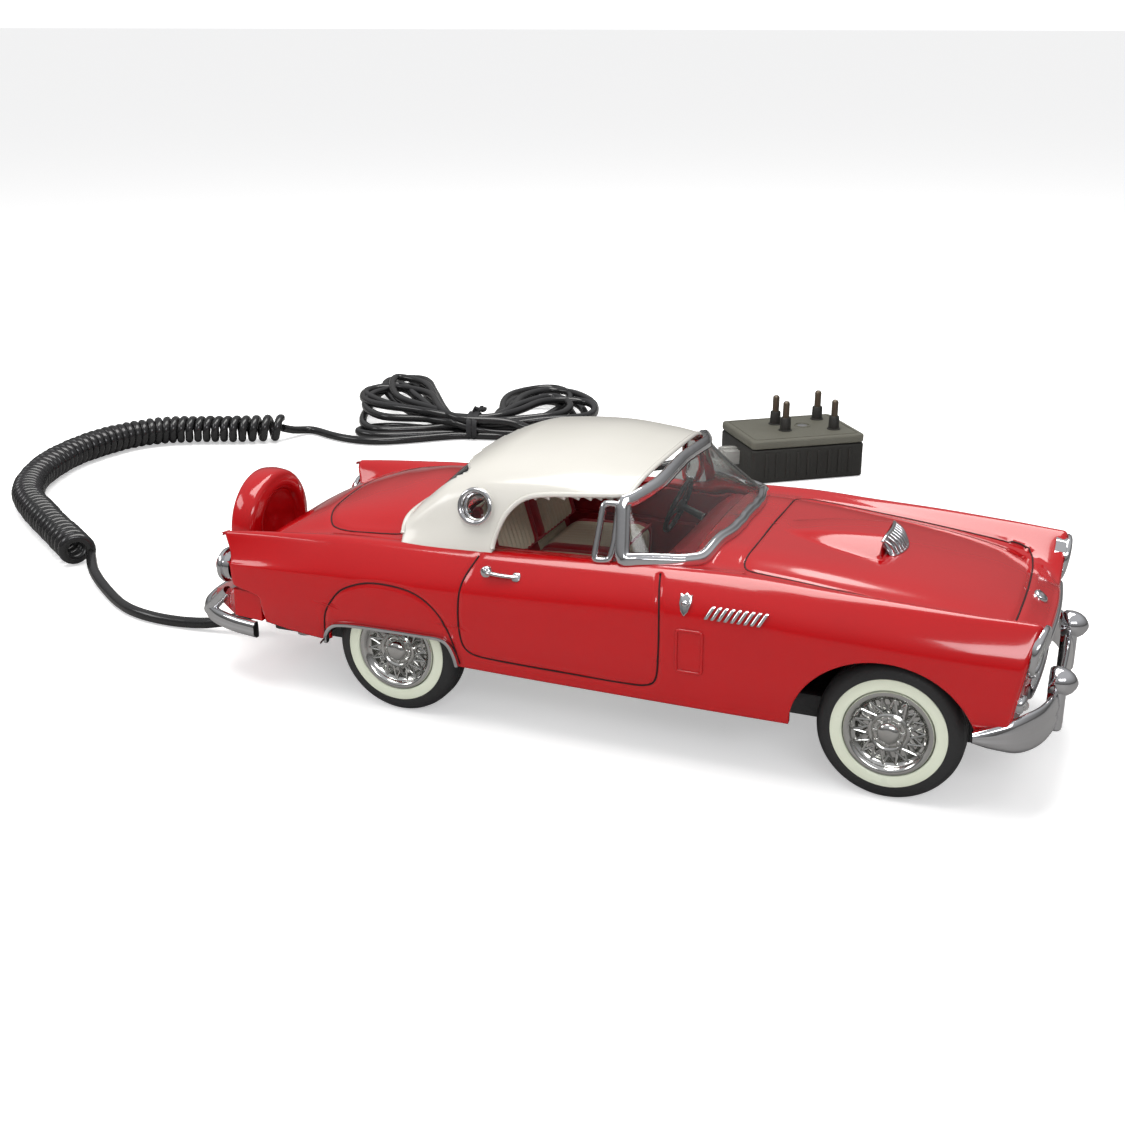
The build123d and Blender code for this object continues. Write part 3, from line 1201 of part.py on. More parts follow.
# ---------------------------------------------------------------- cords
LEAD_PATH = ((-117.9, -8.0, 17.4), (-124, -8.0, 16.6), (-134, -8.6, 12.5), (-146, -10.4, 7.0),
             (-158, -12.4, 3.2),
             (-170, -13.8, 2.0), (-184, -13.6, 1.95), (-197, -9.6, 1.95), (-212, 0.0, 2.2), (-226, 10.4, 4.0),
             (-238, 18.4, 6.4), (-243, 21.8, 6.7))
COIL_PATH = ((-240.0, 19.8), (-250.5, 27.4), (-279.8, 48), (-307, 70), (-324, 98), (-331.5, 130),
             (-328.5, 158),
             (-318, 176), (-301, 186), (-283.5, 193.5), (-266.6, 203))
COIL_Z = 6.7
RELIEF_RINGS = 3


def tube_along(points, radius, closed=False):
    """A round tube swept along a smooth curve through the points."""
    with BuildPart() as tube:
        with BuildLine() as path:
            Spline(*points, periodic=closed)
        with BuildSketch(Plane(origin=path.line @ 0, z_dir=path.line % 0)):
            Circle(radius)
        sweep(path=path.line)
    return tube.part


def coil_tube():
    """The wound cord as one plain round tube."""
    return tube_along([(x, y, COIL_Z) for x, y in COIL_PATH], COIL_R)


with BuildPart() as coil_cord:
    add(tube_along(LEAD_PATH, CORD_R))
    add(coil_tube())
    with BuildSketch(cross_plane(RELIEF_X + PAN_SKIN - 0.1)):
        with Locations((RELIEF_Y, RELIEF_Z)):
            Circle(RELIEF_R)
    extrude(amount=-3.4)
    with BuildSketch(cross_plane(RELIEF_X - 0.1)):
        with Locations((RELIEF_Y, RELIEF_Z)):
            Circle(RELIEF_R + 0.9)
    extrude(amount=-1.2)
keep(coil_cord.part, "coil_cord")

TIE_X, TIE_Y, TIE_Z, TIE_HEADING = -182.0, 246.0, 5.2, 15.0
HANK_R, HANK_Z, WAIST = 3.6, 5.2, 4.0
HANK_LEFT = ((-200, 244.6), (-222, 262), (-246, 300), (-262, 316), (-264.4, 296), (-257, 268), (-240, 234),
             (-222, 222.5),
             (-200, 232.4))
HANK_RIGHT = ((-166, 245), (-146, 252), (-135.5, 272), (-143, 298), (-160, 322), (-176, 327.6), (-186, 312),
              (-181.5, 282), (-170, 259.5))
COIL_TAIL = ((-266.6, 203.0, 6.4), (-264.6, 209.5, 4.2), (-258, 216, 2.6), (-244, 216.5, 2.6),
             (-226, 221, 4.6))
PLUG_TAIL = ((-150, 249.5, 5.0), (-140, 240, 3.4), (-118, 226, 2.6), (-92, 213, 3.0), (-74, 212, 5.6),
             (-62.0, 221.12, 8.4), (-57.1, 224.81, 8.5), (-52.2, 228.5, 8.5))


def waist_point(along, aside):
    """A point of the hank near the tie, along and beside the way the strands run under it."""
    turn = radians(TIE_HEADING)
    return (TIE_X + along * cos(turn) - aside * sin(turn), TIE_Y + along * sin(turn) + aside * cos(turn))


def hank_outline():
    """The hank's closed hourglass course: round the left loop, through the tie, round the right loop and
    back."""
    course = [*HANK_LEFT, waist_point(-6, -WAIST), waist_point(6, -WAIST), *HANK_RIGHT, waist_point(6, WAIST),
              waist_point(-6, WAIST)]
    return [(x, y, HANK_Z) for x, y in course]


with BuildPart() as line_cord:
    add(tube_along(COIL_TAIL, CORD_R))
    add(coil_tube().moved(Location((0.03, 0.02, 0))), mode=Mode.SUBTRACT)
    add(tube_along(hank_outline(), HANK_R, closed=True))
    add(tube_along(PLUG_TAIL, CORD_R))
keep(line_cord.part, "line_cord")

TIE_LENGTH, TIE_SKIN, TIE_GAP = 5.0, 0.9, 0.35

with BuildPart() as cord_tie:
    with BuildSketch(Plane(origin=(TIE_X, TIE_Y, TIE_Z),
                           x_dir=(-sin(radians(TIE_HEADING)), cos(radians(TIE_HEADING)), 0),
                           z_dir=(cos(radians(TIE_HEADING)), sin(radians(TIE_HEADING)), 0))):
        SlotOverall(2 * (WAIST + HANK_R + TIE_GAP + TIE_SKIN), 2 * (HANK_R + TIE_GAP + TIE_SKIN))
        SlotOverall(2 * (WAIST + HANK_R + TIE_GAP), 2 * (HANK_R + TIE_GAP), mode=Mode.SUBTRACT)
    extrude(amount=TIE_LENGTH / 2, both=True)
keep(cord_tie.part, "cord_tie")

# ---------------------------------------------------------------- wall adapter
ADAPTER_LENGTH, ADAPTER_WIDTH, ADAPTER_HEIGHT = ADAPTER_SIZE
COVER_SKIN, SPLIT_Z = 2.0, 15.5
SOCKET_WIDTH, SOCKET_HEIGHT, SOCKET_DEPTH, SOCKET_Z = 11.0, 8.0, 12.0, 8.5
PIN_SPOTS = ((-5.2, 7.7), (-5.2, -4.1), (17.0, 11.0), (17.0, -7.4))
PIN_BASE_R, PIN_BASE_HEIGHT, PIN_R, PIN_HEIGHT = 2.4, 6.0, 1.5, 13.5
PIN_FOOT = 4.0
SCREW_SPOT, SCREW_WELL_R, SCREW_WELL_DEPTH = (5.7, 1.8), 3.3, 2.0


def adapter_plane(z):
    """The adapter's own plane at height z, turned to lie as the block lies on the table."""
    turn = radians(ADAPTER_TURN)
    return Plane(origin=(*ADAPTER_CENTRE, z), x_dir=(cos(turn), sin(turn), 0), z_dir=(0, 0, 1))


with BuildPart() as adapter_case:
    with BuildSketch(adapter_plane(0)):
        RectangleRounded(ADAPTER_LENGTH, ADAPTER_WIDTH, 2.2)
    extrude(amount=SPLIT_Z)
    chamfer(adapter_case.faces().sort_by(Axis.Z)[0].edges(), 0.7)
    with BuildSketch(adapter_plane(2.0)):
        RectangleRounded(ADAPTER_LENGTH - 4.4, ADAPTER_WIDTH - 4.4, 1.2)
    extrude(amount=SPLIT_Z, mode=Mode.SUBTRACT)
    with BuildSketch(adapter_plane(2.0)):
        with Locations((-ADAPTER_LENGTH / 2 + SOCKET_DEPTH / 2 + 0.7, 0)):
            Rectangle(SOCKET_DEPTH + 1.4, SOCKET_WIDTH + 3)
    extrude(amount=SPLIT_Z - 2.5)
    with BuildSketch(adapter_plane(SOCKET_Z - SOCKET_HEIGHT / 2)):
        with Locations((-ADAPTER_LENGTH / 2 + SOCKET_DEPTH / 2 - 1, 0)):
            Rectangle(SOCKET_DEPTH + 2, SOCKET_WIDTH)
    extrude(amount=SOCKET_HEIGHT, mode=Mode.SUBTRACT)
keep(adapter_case.part, "adapter_case")

with BuildPart() as adapter_cover:
    with BuildSketch(adapter_plane(SPLIT_Z + REST)):
        RectangleRounded(ADAPTER_LENGTH, ADAPTER_WIDTH, 2.2)
    extrude(amount=ADAPTER_HEIGHT - SPLIT_Z - REST)
    chamfer(adapter_cover.faces().sort_by(Axis.Z)[-1].edges(), 0.8)
    with BuildSketch(adapter_plane(ADAPTER_HEIGHT - SCREW_WELL_DEPTH)):
        with Locations(SCREW_SPOT):
            Circle(SCREW_WELL_R)
    extrude(amount=SCREW_WELL_DEPTH, mode=Mode.SUBTRACT)
    with BuildSketch(adapter_plane(SPLIT_Z)):
        with Locations(*PIN_SPOTS):
            Circle(PIN_R + 0.02)
        with Locations(SCREW_SPOT):
            Circle(1.3)
    extrude(amount=ADAPTER_HEIGHT, mode=Mode.SUBTRACT)
keep(adapter_cover.part, "adapter_cover")

with BuildPart() as adapter_pins:
    with BuildSketch(adapter_plane(ADAPTER_HEIGHT + REST)):
        with Locations(*PIN_SPOTS):
            Circle(PIN_BASE_R)
    extrude(amount=PIN_BASE_HEIGHT)
    with BuildSketch(adapter_plane(ADAPTER_HEIGHT - PIN_FOOT)):
        with Locations(*PIN_SPOTS):
            Circle(PIN_R)
    extrude(amount=PIN_HEIGHT + PIN_FOOT)
    chamfer(adapter_pins.faces().filter_by(GeomType.PLANE).group_by(Axis.Z)[-1].edges(), 0.6)
keep(adapter_pins.part, "adapter_pins")

with BuildPart() as modular_plug:
    with BuildSketch(adapter_plane(SOCKET_Z - 3.2)):
        with Locations((-ADAPTER_LENGTH / 2 + 0.9, 0)):
            Rectangle(15.8, 9.6)
    extrude(amount=6.4)
    with BuildSketch(adapter_plane(SOCKET_Z + 3.1)):
        with Locations((-ADAPTER_LENGTH / 2 - 3, 0)):
            Rectangle(7, 3.2)
    extrude(amount=0.8)
    boot = adapter_plane(SOCKET_Z).from_local_coords((-ADAPTER_LENGTH / 2 - 7.0, 0, 0))
    with BuildSketch(Plane(origin=boot,
                           z_dir=(-cos(radians(ADAPTER_TURN)), -sin(radians(ADAPTER_TURN)), 0))):
        Circle(2.6)
    extrude(amount=4.0)
    add(tube_along(PLUG_TAIL, CORD_R + 0.03), mode=Mode.SUBTRACT)
keep(modular_plug.part, "modular_plug")
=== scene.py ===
import json
import math

import bmesh
import bpy
import numpy as np
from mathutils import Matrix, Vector, geometry
from mathutils.bvhtree import BVHTree


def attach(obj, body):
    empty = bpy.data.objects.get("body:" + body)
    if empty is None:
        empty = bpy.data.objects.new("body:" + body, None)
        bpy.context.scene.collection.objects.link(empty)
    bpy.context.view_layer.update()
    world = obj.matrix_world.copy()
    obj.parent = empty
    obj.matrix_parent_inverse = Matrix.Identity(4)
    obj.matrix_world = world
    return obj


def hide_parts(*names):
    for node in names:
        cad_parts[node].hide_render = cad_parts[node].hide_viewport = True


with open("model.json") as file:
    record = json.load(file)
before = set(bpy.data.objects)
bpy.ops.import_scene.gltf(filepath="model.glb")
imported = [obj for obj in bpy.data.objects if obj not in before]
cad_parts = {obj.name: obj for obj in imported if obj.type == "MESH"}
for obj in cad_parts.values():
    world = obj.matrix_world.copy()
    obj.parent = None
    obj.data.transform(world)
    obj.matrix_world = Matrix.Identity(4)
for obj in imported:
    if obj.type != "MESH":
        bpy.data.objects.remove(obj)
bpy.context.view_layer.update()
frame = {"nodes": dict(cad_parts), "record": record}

MM = 0.001
CELL = 0.62

# ------------------------------------------------------------------ shared dimensions (mm)
TYRE_R, FRONT_X, REAR_X = 19.5, 72.0, -72.0
NOSE_X, NOSE_BOW, NOSE_RAKE = 109.3, 8.8 / 4900, math.radians(9)
ARCH = (70.3, 18.4, 24.2, 22.6)
COCKPIT = (-63.0, 14.0, 36.5, 9.0)
GRILLE_Y, GRILLE_Z0, GRILLE_Z1 = 31.0, 28.6, 41.4
GRILLE_Z = (GRILLE_Z0 + GRILLE_Z1) / 2
LAMP_Y, LAMP_Z, LAMP_R = 37.4, 45.7, 6.2
TAIL_Y, TAIL_Z, TAIL_R = 41.4, 37.8, 4.7
ADAPTER = (-24.6, 249.3, math.radians(37.0), 54.0, 39.0, 19.5)
SCOOP_X1 = 61.6
BODY_WALL, PANE_WALL = 1.6, 0.7
MERGE = 1e-6
CABIN_MIDDLE = (-35, 0, 45)


# ------------------------------------------------------------------ curves that shape the car
def rail(*knots):
    """A smooth function through (x, value) knots that never overshoots; it takes arrays."""
    xs, vs = np.array(knots, float).T
    steps = np.diff(vs) / np.diff(xs)
    slopes = np.empty_like(vs)
    slopes[0], slopes[-1] = steps[0], steps[-1]
    a, b = steps[:-1], steps[1:]
    with np.errstate(divide="ignore", invalid="ignore"):
        slopes[1:-1] = np.where(a * b <= 0, 0.0, 2 * a * b / np.where(a + b == 0, 1, a + b))

    def value(x):
        x = np.clip(np.asarray(x, float), xs[0], xs[-1])
        i = np.clip(np.searchsorted(xs, x, side="right") - 1, 0, len(xs) - 2)
        width = xs[i + 1] - xs[i]
        t = (x - xs[i]) / width
        ends = (1 + 2 * t) * (1 - t) ** 2 * vs[i] + t * t * (3 - 2 * t) * vs[i + 1]
        return ends + (t * (1 - t) ** 2 * slopes[i] - t * t * (1 - t) * slopes[i + 1]) * width

    return value


centre_z = rail((-131, 38.0), (-125, 43.5), (-118, 48.3), (-110, 52.3), (-101, 55.8), (-92, 58.2),
                (-80, 60.0), (-45, 60.4), (5, 59.4), (30, 58.2), (45, 57.4), (60, 56.3), (70, 55.3),
                (80, 53.8), (90, 51.6), (97, 49.5), (101, 47.8), (104, 45.8), (108, 43.2), (113, 40.0))
lid_edge_z = rail((-131, 37.2), (-125, 42.0), (-118, 46.0), (-110, 49.2), (-101, 51.7), (-92, 53.4),
                  (-80, 54.7), (-45, 55.8), (20, 57.3), (38, 56.4), (53, 55.0), (65, 53.7), (77, 52.3),
                  (89, 50.2), (95, 48.6), (101, 46.6), (108, 42.8), (113, 39.8))
valley_z = rail((-131, 39.0), (-125, 42.2), (-118, 45.2), (-105, 48.4), (-92, 50.6), (-70, 52.4),
                (-45, 53.6), (0, 55.2), (27, 55.7), (39, 55.1), (52, 54.0), (67, 52.7), (81, 51.4),
                (93, 49.9), (108, 47.5), (113, 46.8))
crown_z = rail((-131, 48.4), (-118, 49.8), (-105, 50.9), (-90, 52.0), (-70, 52.6), (-45, 53.5),
               (-20, 54.7), (10, 56.1), (30, 56.5), (50, 55.7), (70, 55.0), (87, 54.2), (106, 53.3),
               (113, 52.6))
crown_y = rail((-131, 41.2), (60, 41.2), (90, 40.2), (104, 38.8), (113, 38.5))
valley_y = rail((-131, 34.6), (60, 34.6), (90, 33.0), (104, 30.8), (113, 30.2))
side_y = rail((-131, 45.6), (-118, 46.8), (-95, 48.0), (-60, 49.0), (-20, 49.4), (20, 49.4), (50, 49.2),
              (72, 48.8), (90, 47.6), (101, 46.2), (108, 45.0), (113, 44.0))
sill_z = rail((-131, 24.5), (-117, 21.9), (-95, 19.9), (-47, 18.9), (45, 18.5), (94, 23.0), (108, 26.0),
              (113, 27.0))
scoop_y = rail((29, 4.0), (38, 7.8), (48, 9.0), (61.6, 9.5))
scoop_z = rail((29, 56.0), (32, 57.4), (38, 58.9), (48, 60.1), (61.6, 60.8))
roof_top = rail((-79, 52.6), (-73, 58.8), (-66, 66.5), (-57, 74.4), (-45, 78.6), (-25, 80.2), (-10, 79.0),
                (4, 76.2))
ROOF_SIDE = ((0.0, 80.0), (20.0, 78.6), (30.0, 76.0), (34.2, 73.4), (36.7, 70.2), (38.6, 64.5),
             (40.3, 58.5), (42.0, 52.5), (42.6, 48.0))


def body_half(x):
    """The body's half section at each x, as an array of (y, z) knots from the centre line to the sill."""
    x = np.atleast_1d(np.asarray(x, float))
    top, edge, valley, crown, side = centre_z(x), lid_edge_z(x), valley_z(x), crown_z(x), side_y(x)
    ridge, dip = crown_y(x), valley_y(x)
    knots = [(0 * x, top), (15 + 0 * x, top - 0.24 * (top - edge)), (dip - 6.6, edge), (dip, valley),
             (ridge - 2.9, crown - 0.26 * (crown - valley) - 0.2), (ridge, crown),
             (0.45 * ridge + 0.55 * side - 1.1, crown - 2.4), (side - 1.0, crown - 8.0),
             (side, 40.0 - 0.1 * (55.0 - crown)), (side - 0.3, 31.0 + 0 * x), (side - 3.0, sill_z(x))]
    return np.stack([np.stack(k, -1) for k in knots], 1)


def roof_half(x, inset=0.0):
    """The hardtop's half section at each x; inset moves it in by a wall thickness."""
    x = np.atleast_1d(np.asarray(x, float))
    rise = (roof_top(x - 0.8 * inset) - 50.0) / 30.0
    knots = []
    for y, z in ROOF_SIDE:
        drop = inset if z > 60 else inset + 2.0 * (inset > 0)
        knots.append((y - inset * y / 42.0 + 0 * x, 50.0 + (z - 50.0) * rise - drop))
    return np.stack([np.stack(k, -1) for k in knots], 1)


def spline_basis(knots, samples):
    """Weights that turn knot positions into a natural cubic spline's points at the samples."""
    n = len(knots)
    h = np.diff(knots)
    a, r = np.zeros((n, n)), np.zeros((n, n))
    a[0, 0] = a[-1, -1] = 1
    for i in range(1, n - 1):
        a[i, i - 1], a[i, i], a[i, i + 1] = h[i - 1], 2 * (h[i - 1] + h[i]), h[i]
        r[i, i - 1], r[i, i], r[i, i + 1] = 6 / h[i - 1], -6 / h[i - 1] - 6 / h[i], 6 / h[i]
    curve = np.linalg.solve(a, r)
    i = np.clip(np.searchsorted(knots, samples, side="right") - 1, 0, n - 2)
    t = samples - knots[i]
    eye = np.eye(n)
    slope = (eye[i + 1] - eye[i]) / h[i][:, None] - h[i][:, None] * (2 * curve[i] + curve[i + 1]) / 6
    bend = (curve[i + 1] - curve[i]) / (6 * h[i])[:, None]
    t = t[:, None]
    return eye[i] + t * slope + t ** 2 * curve[i] / 2 + t ** 3 * bend


def section_sheet(half_of, x_mid, cell):
    """A function giving points of a lofted surface: rows along the car, columns round the section."""
    mid = half_of(x_mid)[0]
    full = np.concatenate([mid[:0:-1] * (-1, 1), mid])
    knots = np.concatenate([[0], np.cumsum(np.hypot(*np.diff(full, axis=0).T))])
    count = 2 * int(knots[-1] / cell / 2) + 1
    basis = spline_basis(knots, np.linspace(0, knots[-1], count))

    def sheet(x_grid):
        """x_grid is (rows, columns); each point takes its own x."""
        out = np.empty(x_grid.shape + (3,))
        for j in range(x_grid.shape[1]):
            half = half_of(x_grid[:, j])
            both = np.concatenate([half[:, :0:-1] * (-1, 1), half], 1)
            out[:, j, 0] = x_grid[:, j]
            out[:, j, 1:] = np.einsum("k,nkd->nd", basis[j], both)
        return out

    return sheet, count


def nose_x(y, z):
    """Where the raked, gently bowed nose surface lies at (y, z)."""
    return (NOSE_X - NOSE_BOW * y * y) / math.cos(NOSE_RAKE) + math.tan(NOSE_RAKE) * (z - 60)


tail_x = rail((0, -117.4), (29.5, -117.0), (31.4, -118.0), (33.4, -126.4), (41.5, -127.4), (48.6, -130.5),
              (70, -131.0))


# ------------------------------------------------------------------ mesh helpers
def new_object(name, verts, faces, material, body, slot=None, replaces=(), sharp=None):
    """A mesh object from millimetre points, placed in the row frame and riding on a CAD body."""
    data = bpy.data.meshes.new(name)
    data.from_pydata((np.asarray(verts, float) * MM).tolist(), [], [list(map(int, f)) for f in faces])
    data.validate()
    data.update()
    obj = bpy.data.objects.new(name, data)
    bpy.context.scene.collection.objects.link(obj)
    data.polygons.foreach_set("use_smooth", np.ones(len(data.polygons), bool))
    if sharp is not None:
        data.set_sharp_from_angle(angle=math.radians(sharp))
    if material is not None:
        data.materials.append(material)
    if body is not None:
        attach(obj, body)
    if replaces:
        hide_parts(*replaces)
    return obj


def sheet_faces(rows, cols, closed_rows=False, closed_cols=False, start=0):
    """Quads over a grid of rows by cols points."""
    faces = []
    for i in range(rows if closed_rows else rows - 1):
        for j in range(cols if closed_cols else cols - 1):
            a, b = i * cols + j, i * cols + (j + 1) % cols
            c, d = ((i + 1) % rows) * cols + (j + 1) % cols, ((i + 1) % rows) * cols + j
            faces.append((a + start, d + start, c + start, b + start))
    return faces


def join(*pieces):
    """Several (points, faces) meshes as one."""
    verts, faces, offset = [], [], 0
    for v, f in pieces:
        v = np.asarray(v, float).reshape(-1, 3)
        verts.append(v)
        faces += [tuple(i + offset for i in face) for face in f]
        offset += len(v)
    return np.concatenate(verts), faces


def smooth_path(points, step, closed=False):
    """Points at about equal steps along a rounded curve through the given points."""
    p = np.asarray(points, float)
    n = len(p)
    out = []
    for i in range(n if closed else n - 1):
        if closed:
            a, b, c, d = p[(i - 1) % n], p[i], p[(i + 1) % n], p[(i + 2) % n]
        else:
            a, b, c, d = p[max(i - 1, 0)], p[i], p[i + 1], p[min(i + 2, n - 1)]
        length = np.linalg.norm(c - b)
        before = max(np.linalg.norm(b - a), 1e-9)
        after = max(np.linalg.norm(d - c), 1e-9)
        m0 = (c - a) * length / (before + length)
        m1 = (d - b) * length / (length + after)
        count = max(1, int(round(length / step)))
        t = (np.arange(count) / count)[:, None]
        out.append((1 + 2 * t) * (1 - t) ** 2 * b + t * t * (3 - 2 * t) * c
                   + t * (1 - t) ** 2 * m0 - t * t * (1 - t) * m1)
    if not closed:
        out.append(p[-1:])
    return np.concatenate(out)


def path_frames(p, closed=False, up=None):
    """Tangents and two side vectors at each point; up fixes the second one, otherwise they turn least."""
    t = np.roll(p, -1, 0) - np.roll(p, 1, 0) if closed else np.gradient(p, axis=0)
    t /= np.linalg.norm(t, axis=1)[:, None]
    if up is not None:
        side = np.cross(np.broadcast_to(up, t.shape), t)
        side /= np.linalg.norm(side, axis=1)[:, None]
        return t, side, np.cross(t, side)
    sides = np.empty_like(t)
    start = np.cross(t[0], (0, 0, 1)) if abs(t[0][2]) < 0.9 else np.cross(t[0], (1, 0, 0))
    sides[0] = start / np.linalg.norm(start)
    for i in range(1, len(t)):
        s = sides[i - 1] - t[i] * (sides[i - 1] @ t[i])
        sides[i] = s / np.linalg.norm(s)
    if closed:
        gap = sides[-1] - t[0] * (sides[-1] @ t[0])
        gap /= np.linalg.norm(gap)
        twist = math.atan2(np.cross(gap, sides[0]) @ t[0], gap @ sides[0])
        for i in range(len(t)):
            a = twist * i / len(t)
            sides[i] = sides[i] * math.cos(a) + np.cross(t[i], sides[i]) * math.sin(a)
    return t, sides, np.cross(t, sides)


def sweep(p, outline, closed=False, up=None, scale=None):
    """A closed outline of (side, up) offsets carried along a path."""
    outline = np.asarray(outline, float)
    _, side, top = path_frames(p, closed, up)
    k = np.ones(len(p)) if scale is None else np.asarray(scale, float)
    rings = (p[:, None] + side[:, None] * outline[None, :, 0, None] * k[:, None, None]
             + top[:, None] * outline[None, :, 1, None] * k[:, None, None])
    rows, cols = len(p), len(outline)
    faces = [tuple(reversed(f)) for f in sheet_faces(rows, cols, closed, True)]
    verts = rings.reshape(-1, 3)
    if not closed:
        faces.append(tuple(range(cols)))
        faces.append(tuple(reversed(range((rows - 1) * cols, rows * cols))))
    return verts, faces


def circle(radius, sides=16, squash=1.0):
    """A round or oval outline."""
    a = np.arange(sides) * 2 * math.pi / sides
    return np.stack([radius * np.cos(a), radius * squash * np.sin(a)], -1)


def tube(p, radius, sides=14, closed=False, scale=None):
    """A round bar along a path."""
    return sweep(np.asarray(p, float), circle(radius, sides), closed, scale=scale)


def lathe(profile, origin, axis, sides=96, closed=False):
    """A profile of (along, radius) turned about an axis through origin."""
    axis = np.asarray(axis, float) / np.linalg.norm(axis)
    u = np.cross(axis, (0, 0, 1) if abs(axis[2]) < 0.9 else (1, 0, 0))
    u /= np.linalg.norm(u)
    v = np.cross(axis, u)
    a = np.arange(sides) * 2 * math.pi / sides
    ring = np.cos(a)[:, None] * u + np.sin(a)[:, None] * v
    prof = np.asarray(profile, float)
    pts = np.asarray(origin, float) + prof[:, None, 0, None] * axis + prof[:, None, 1, None] * ring[None]
    return pts.reshape(-1, 3), sheet_faces(len(prof), sides, closed, True)


def rounded_profile(points, radius, closed=False, steps=4):
    """The polyline with its inner corners rounded."""
    p = [np.asarray(q, float) for q in points]
    n = len(p)
    out = []
    for i in range(n):
        if not closed and i in (0, n - 1):
            out.append(p[i])
            continue
        a, b, c = p[i - 1], p[i], p[(i + 1) % n]
        la, lc = np.linalg.norm(a - b), np.linalg.norm(c - b)
        r = min(radius, 0.45 * la, 0.45 * lc)
        s, e = b + (a - b) / la * r, b + (c - b) / lc * r
        for k in range(steps + 1):
            t = k / steps
            out.append((1 - t) ** 2 * s + 2 * t * (1 - t) * b + t * t * e)
    return np.array(out)


def block(outline, z0, z1, edge=0.5, frame_of=None, steps=3):
    """A plate with rounded top and bottom edges: outline is a closed (x, y) loop wound anticlockwise."""
    p = np.asarray(outline, float)
    n = len(p)
    before, after = p - np.roll(p, 1, 0), np.roll(p, -1, 0) - p
    before /= np.linalg.norm(before, axis=1)[:, None]
    after /= np.linalg.norm(after, axis=1)[:, None]
    normal = np.stack([before[:, 1] + after[:, 1], -before[:, 0] - after[:, 0]], -1)
    normal /= np.maximum(np.linalg.norm(normal, axis=1)[:, None], 1e-9)
    rings = []
    for k in range(steps + 1):
        a = math.pi / 2 * k / steps
        rings.append((p - normal * edge * (1 - math.sin(a)), z0 + edge * (1 - math.cos(a))))
    for k in range(steps + 1):
        a = math.pi / 2 * k / steps
        rings.append((p - normal * edge * (1 - math.cos(a)), z1 - edge * (1 - math.sin(a))))
    verts = np.concatenate([np.column_stack([r, np.full(n, z)]) for r, z in rings])
    faces = [tuple(reversed(f)) for f in sheet_faces(len(rings), n, False, True)]
    faces.append(tuple(reversed(range(n))))
    faces.append(tuple(range((len(rings) - 1) * n, len(rings) * n)))
    if frame_of is not None:
        verts = frame_of(verts)
    return verts, faces


def rounded_rect(cx, cy, length, width, radius, steps=5):
    """A closed anticlockwise rectangle with round corners."""
    out = []
    for sx, sy, a0 in ((1, 1, 0), (-1, 1, 90), (-1, -1, 180), (1, -1, 270)):
        for k in range(steps + 1):
            a = math.radians(a0 + 90 * k / steps)
            out.append((cx + sx * (length / 2 - radius) + radius * math.cos(a),
                        cy + sy * (width / 2 - radius) + radius * math.sin(a)))
    return np.array(out)


def filled(outer, holes=(), spacing=1.0):
    """A flat mesh of (u, v) points inside an outline and outside its holes, with an even inner grid."""
    loops = [np.asarray(outer, float)] + [np.asarray(h, float) for h in holes]
    verts, edges = [], []
    for loop in loops:
        start = len(verts)
        verts += [tuple(q) for q in loop]
        edges += [(start + i, start + (i + 1) % len(loop)) for i in range(len(loop))]
    low, high = loops[0].min(0), loops[0].max(0)
    grid = np.stack(np.meshgrid(np.arange(low[0], high[0], spacing), np.arange(low[1], high[1], spacing)),
                    -1).reshape(-1, 2)
    keep = inside(grid, loops[0])
    for loop in loops[1:]:
        keep &= ~inside(grid, loop)
    for loop in loops:
        near = np.min(np.linalg.norm(grid[:, None] - loop[None], axis=2), axis=1)
        keep &= near > 0.6 * spacing
    verts += [tuple(q) for q in grid[keep]]
    out_v, _, out_f, _, _, _ = geometry.delaunay_2d_cdt([Vector(v) for v in verts], edges, [], 0, 1e-6)
    pts = np.array([tuple(v) for v in out_v])
    mids = np.array([pts[list(f)].mean(0) for f in out_f])
    good = inside(mids, loops[0])
    for loop in loops[1:]:
        good &= ~inside(mids, loop)
    return pts, [tuple(f) for f, g in zip(out_f, good) if g]


def inside(points, loop):
    """Which points lie inside a closed loop."""
    x, y = points[:, 0], points[:, 1]
    hit = np.zeros(len(points), bool)
    for (x0, y0), (x1, y1) in zip(loop, np.roll(loop, -1, 0)):
        cross = ((y0 > y) != (y1 > y))
        with np.errstate(divide="ignore", invalid="ignore"):
            hit ^= cross & (x < (x1 - x0) * (y - y0) / (y1 - y0) + x0)
    return hit


def nearest_on(points, loop, closed=True):
    """The closest point of a polyline to each point, and how far it is."""
    a = np.asarray(loop, float)
    b = np.roll(a, -1, 0) if closed else a[1:]
    a = a if closed else a[:-1]
    d = b - a
    t = np.einsum("pkd,kd->pk", points[:, None] - a[None], d) / np.maximum((d ** 2).sum(1), 1e-12)
    q = a[None] + np.clip(t, 0, 1)[..., None] * d[None]
    gap = np.linalg.norm(points[:, None] - q, axis=2)
    k = gap.argmin(1)
    return q[np.arange(len(points)), k], gap[np.arange(len(points)), k]


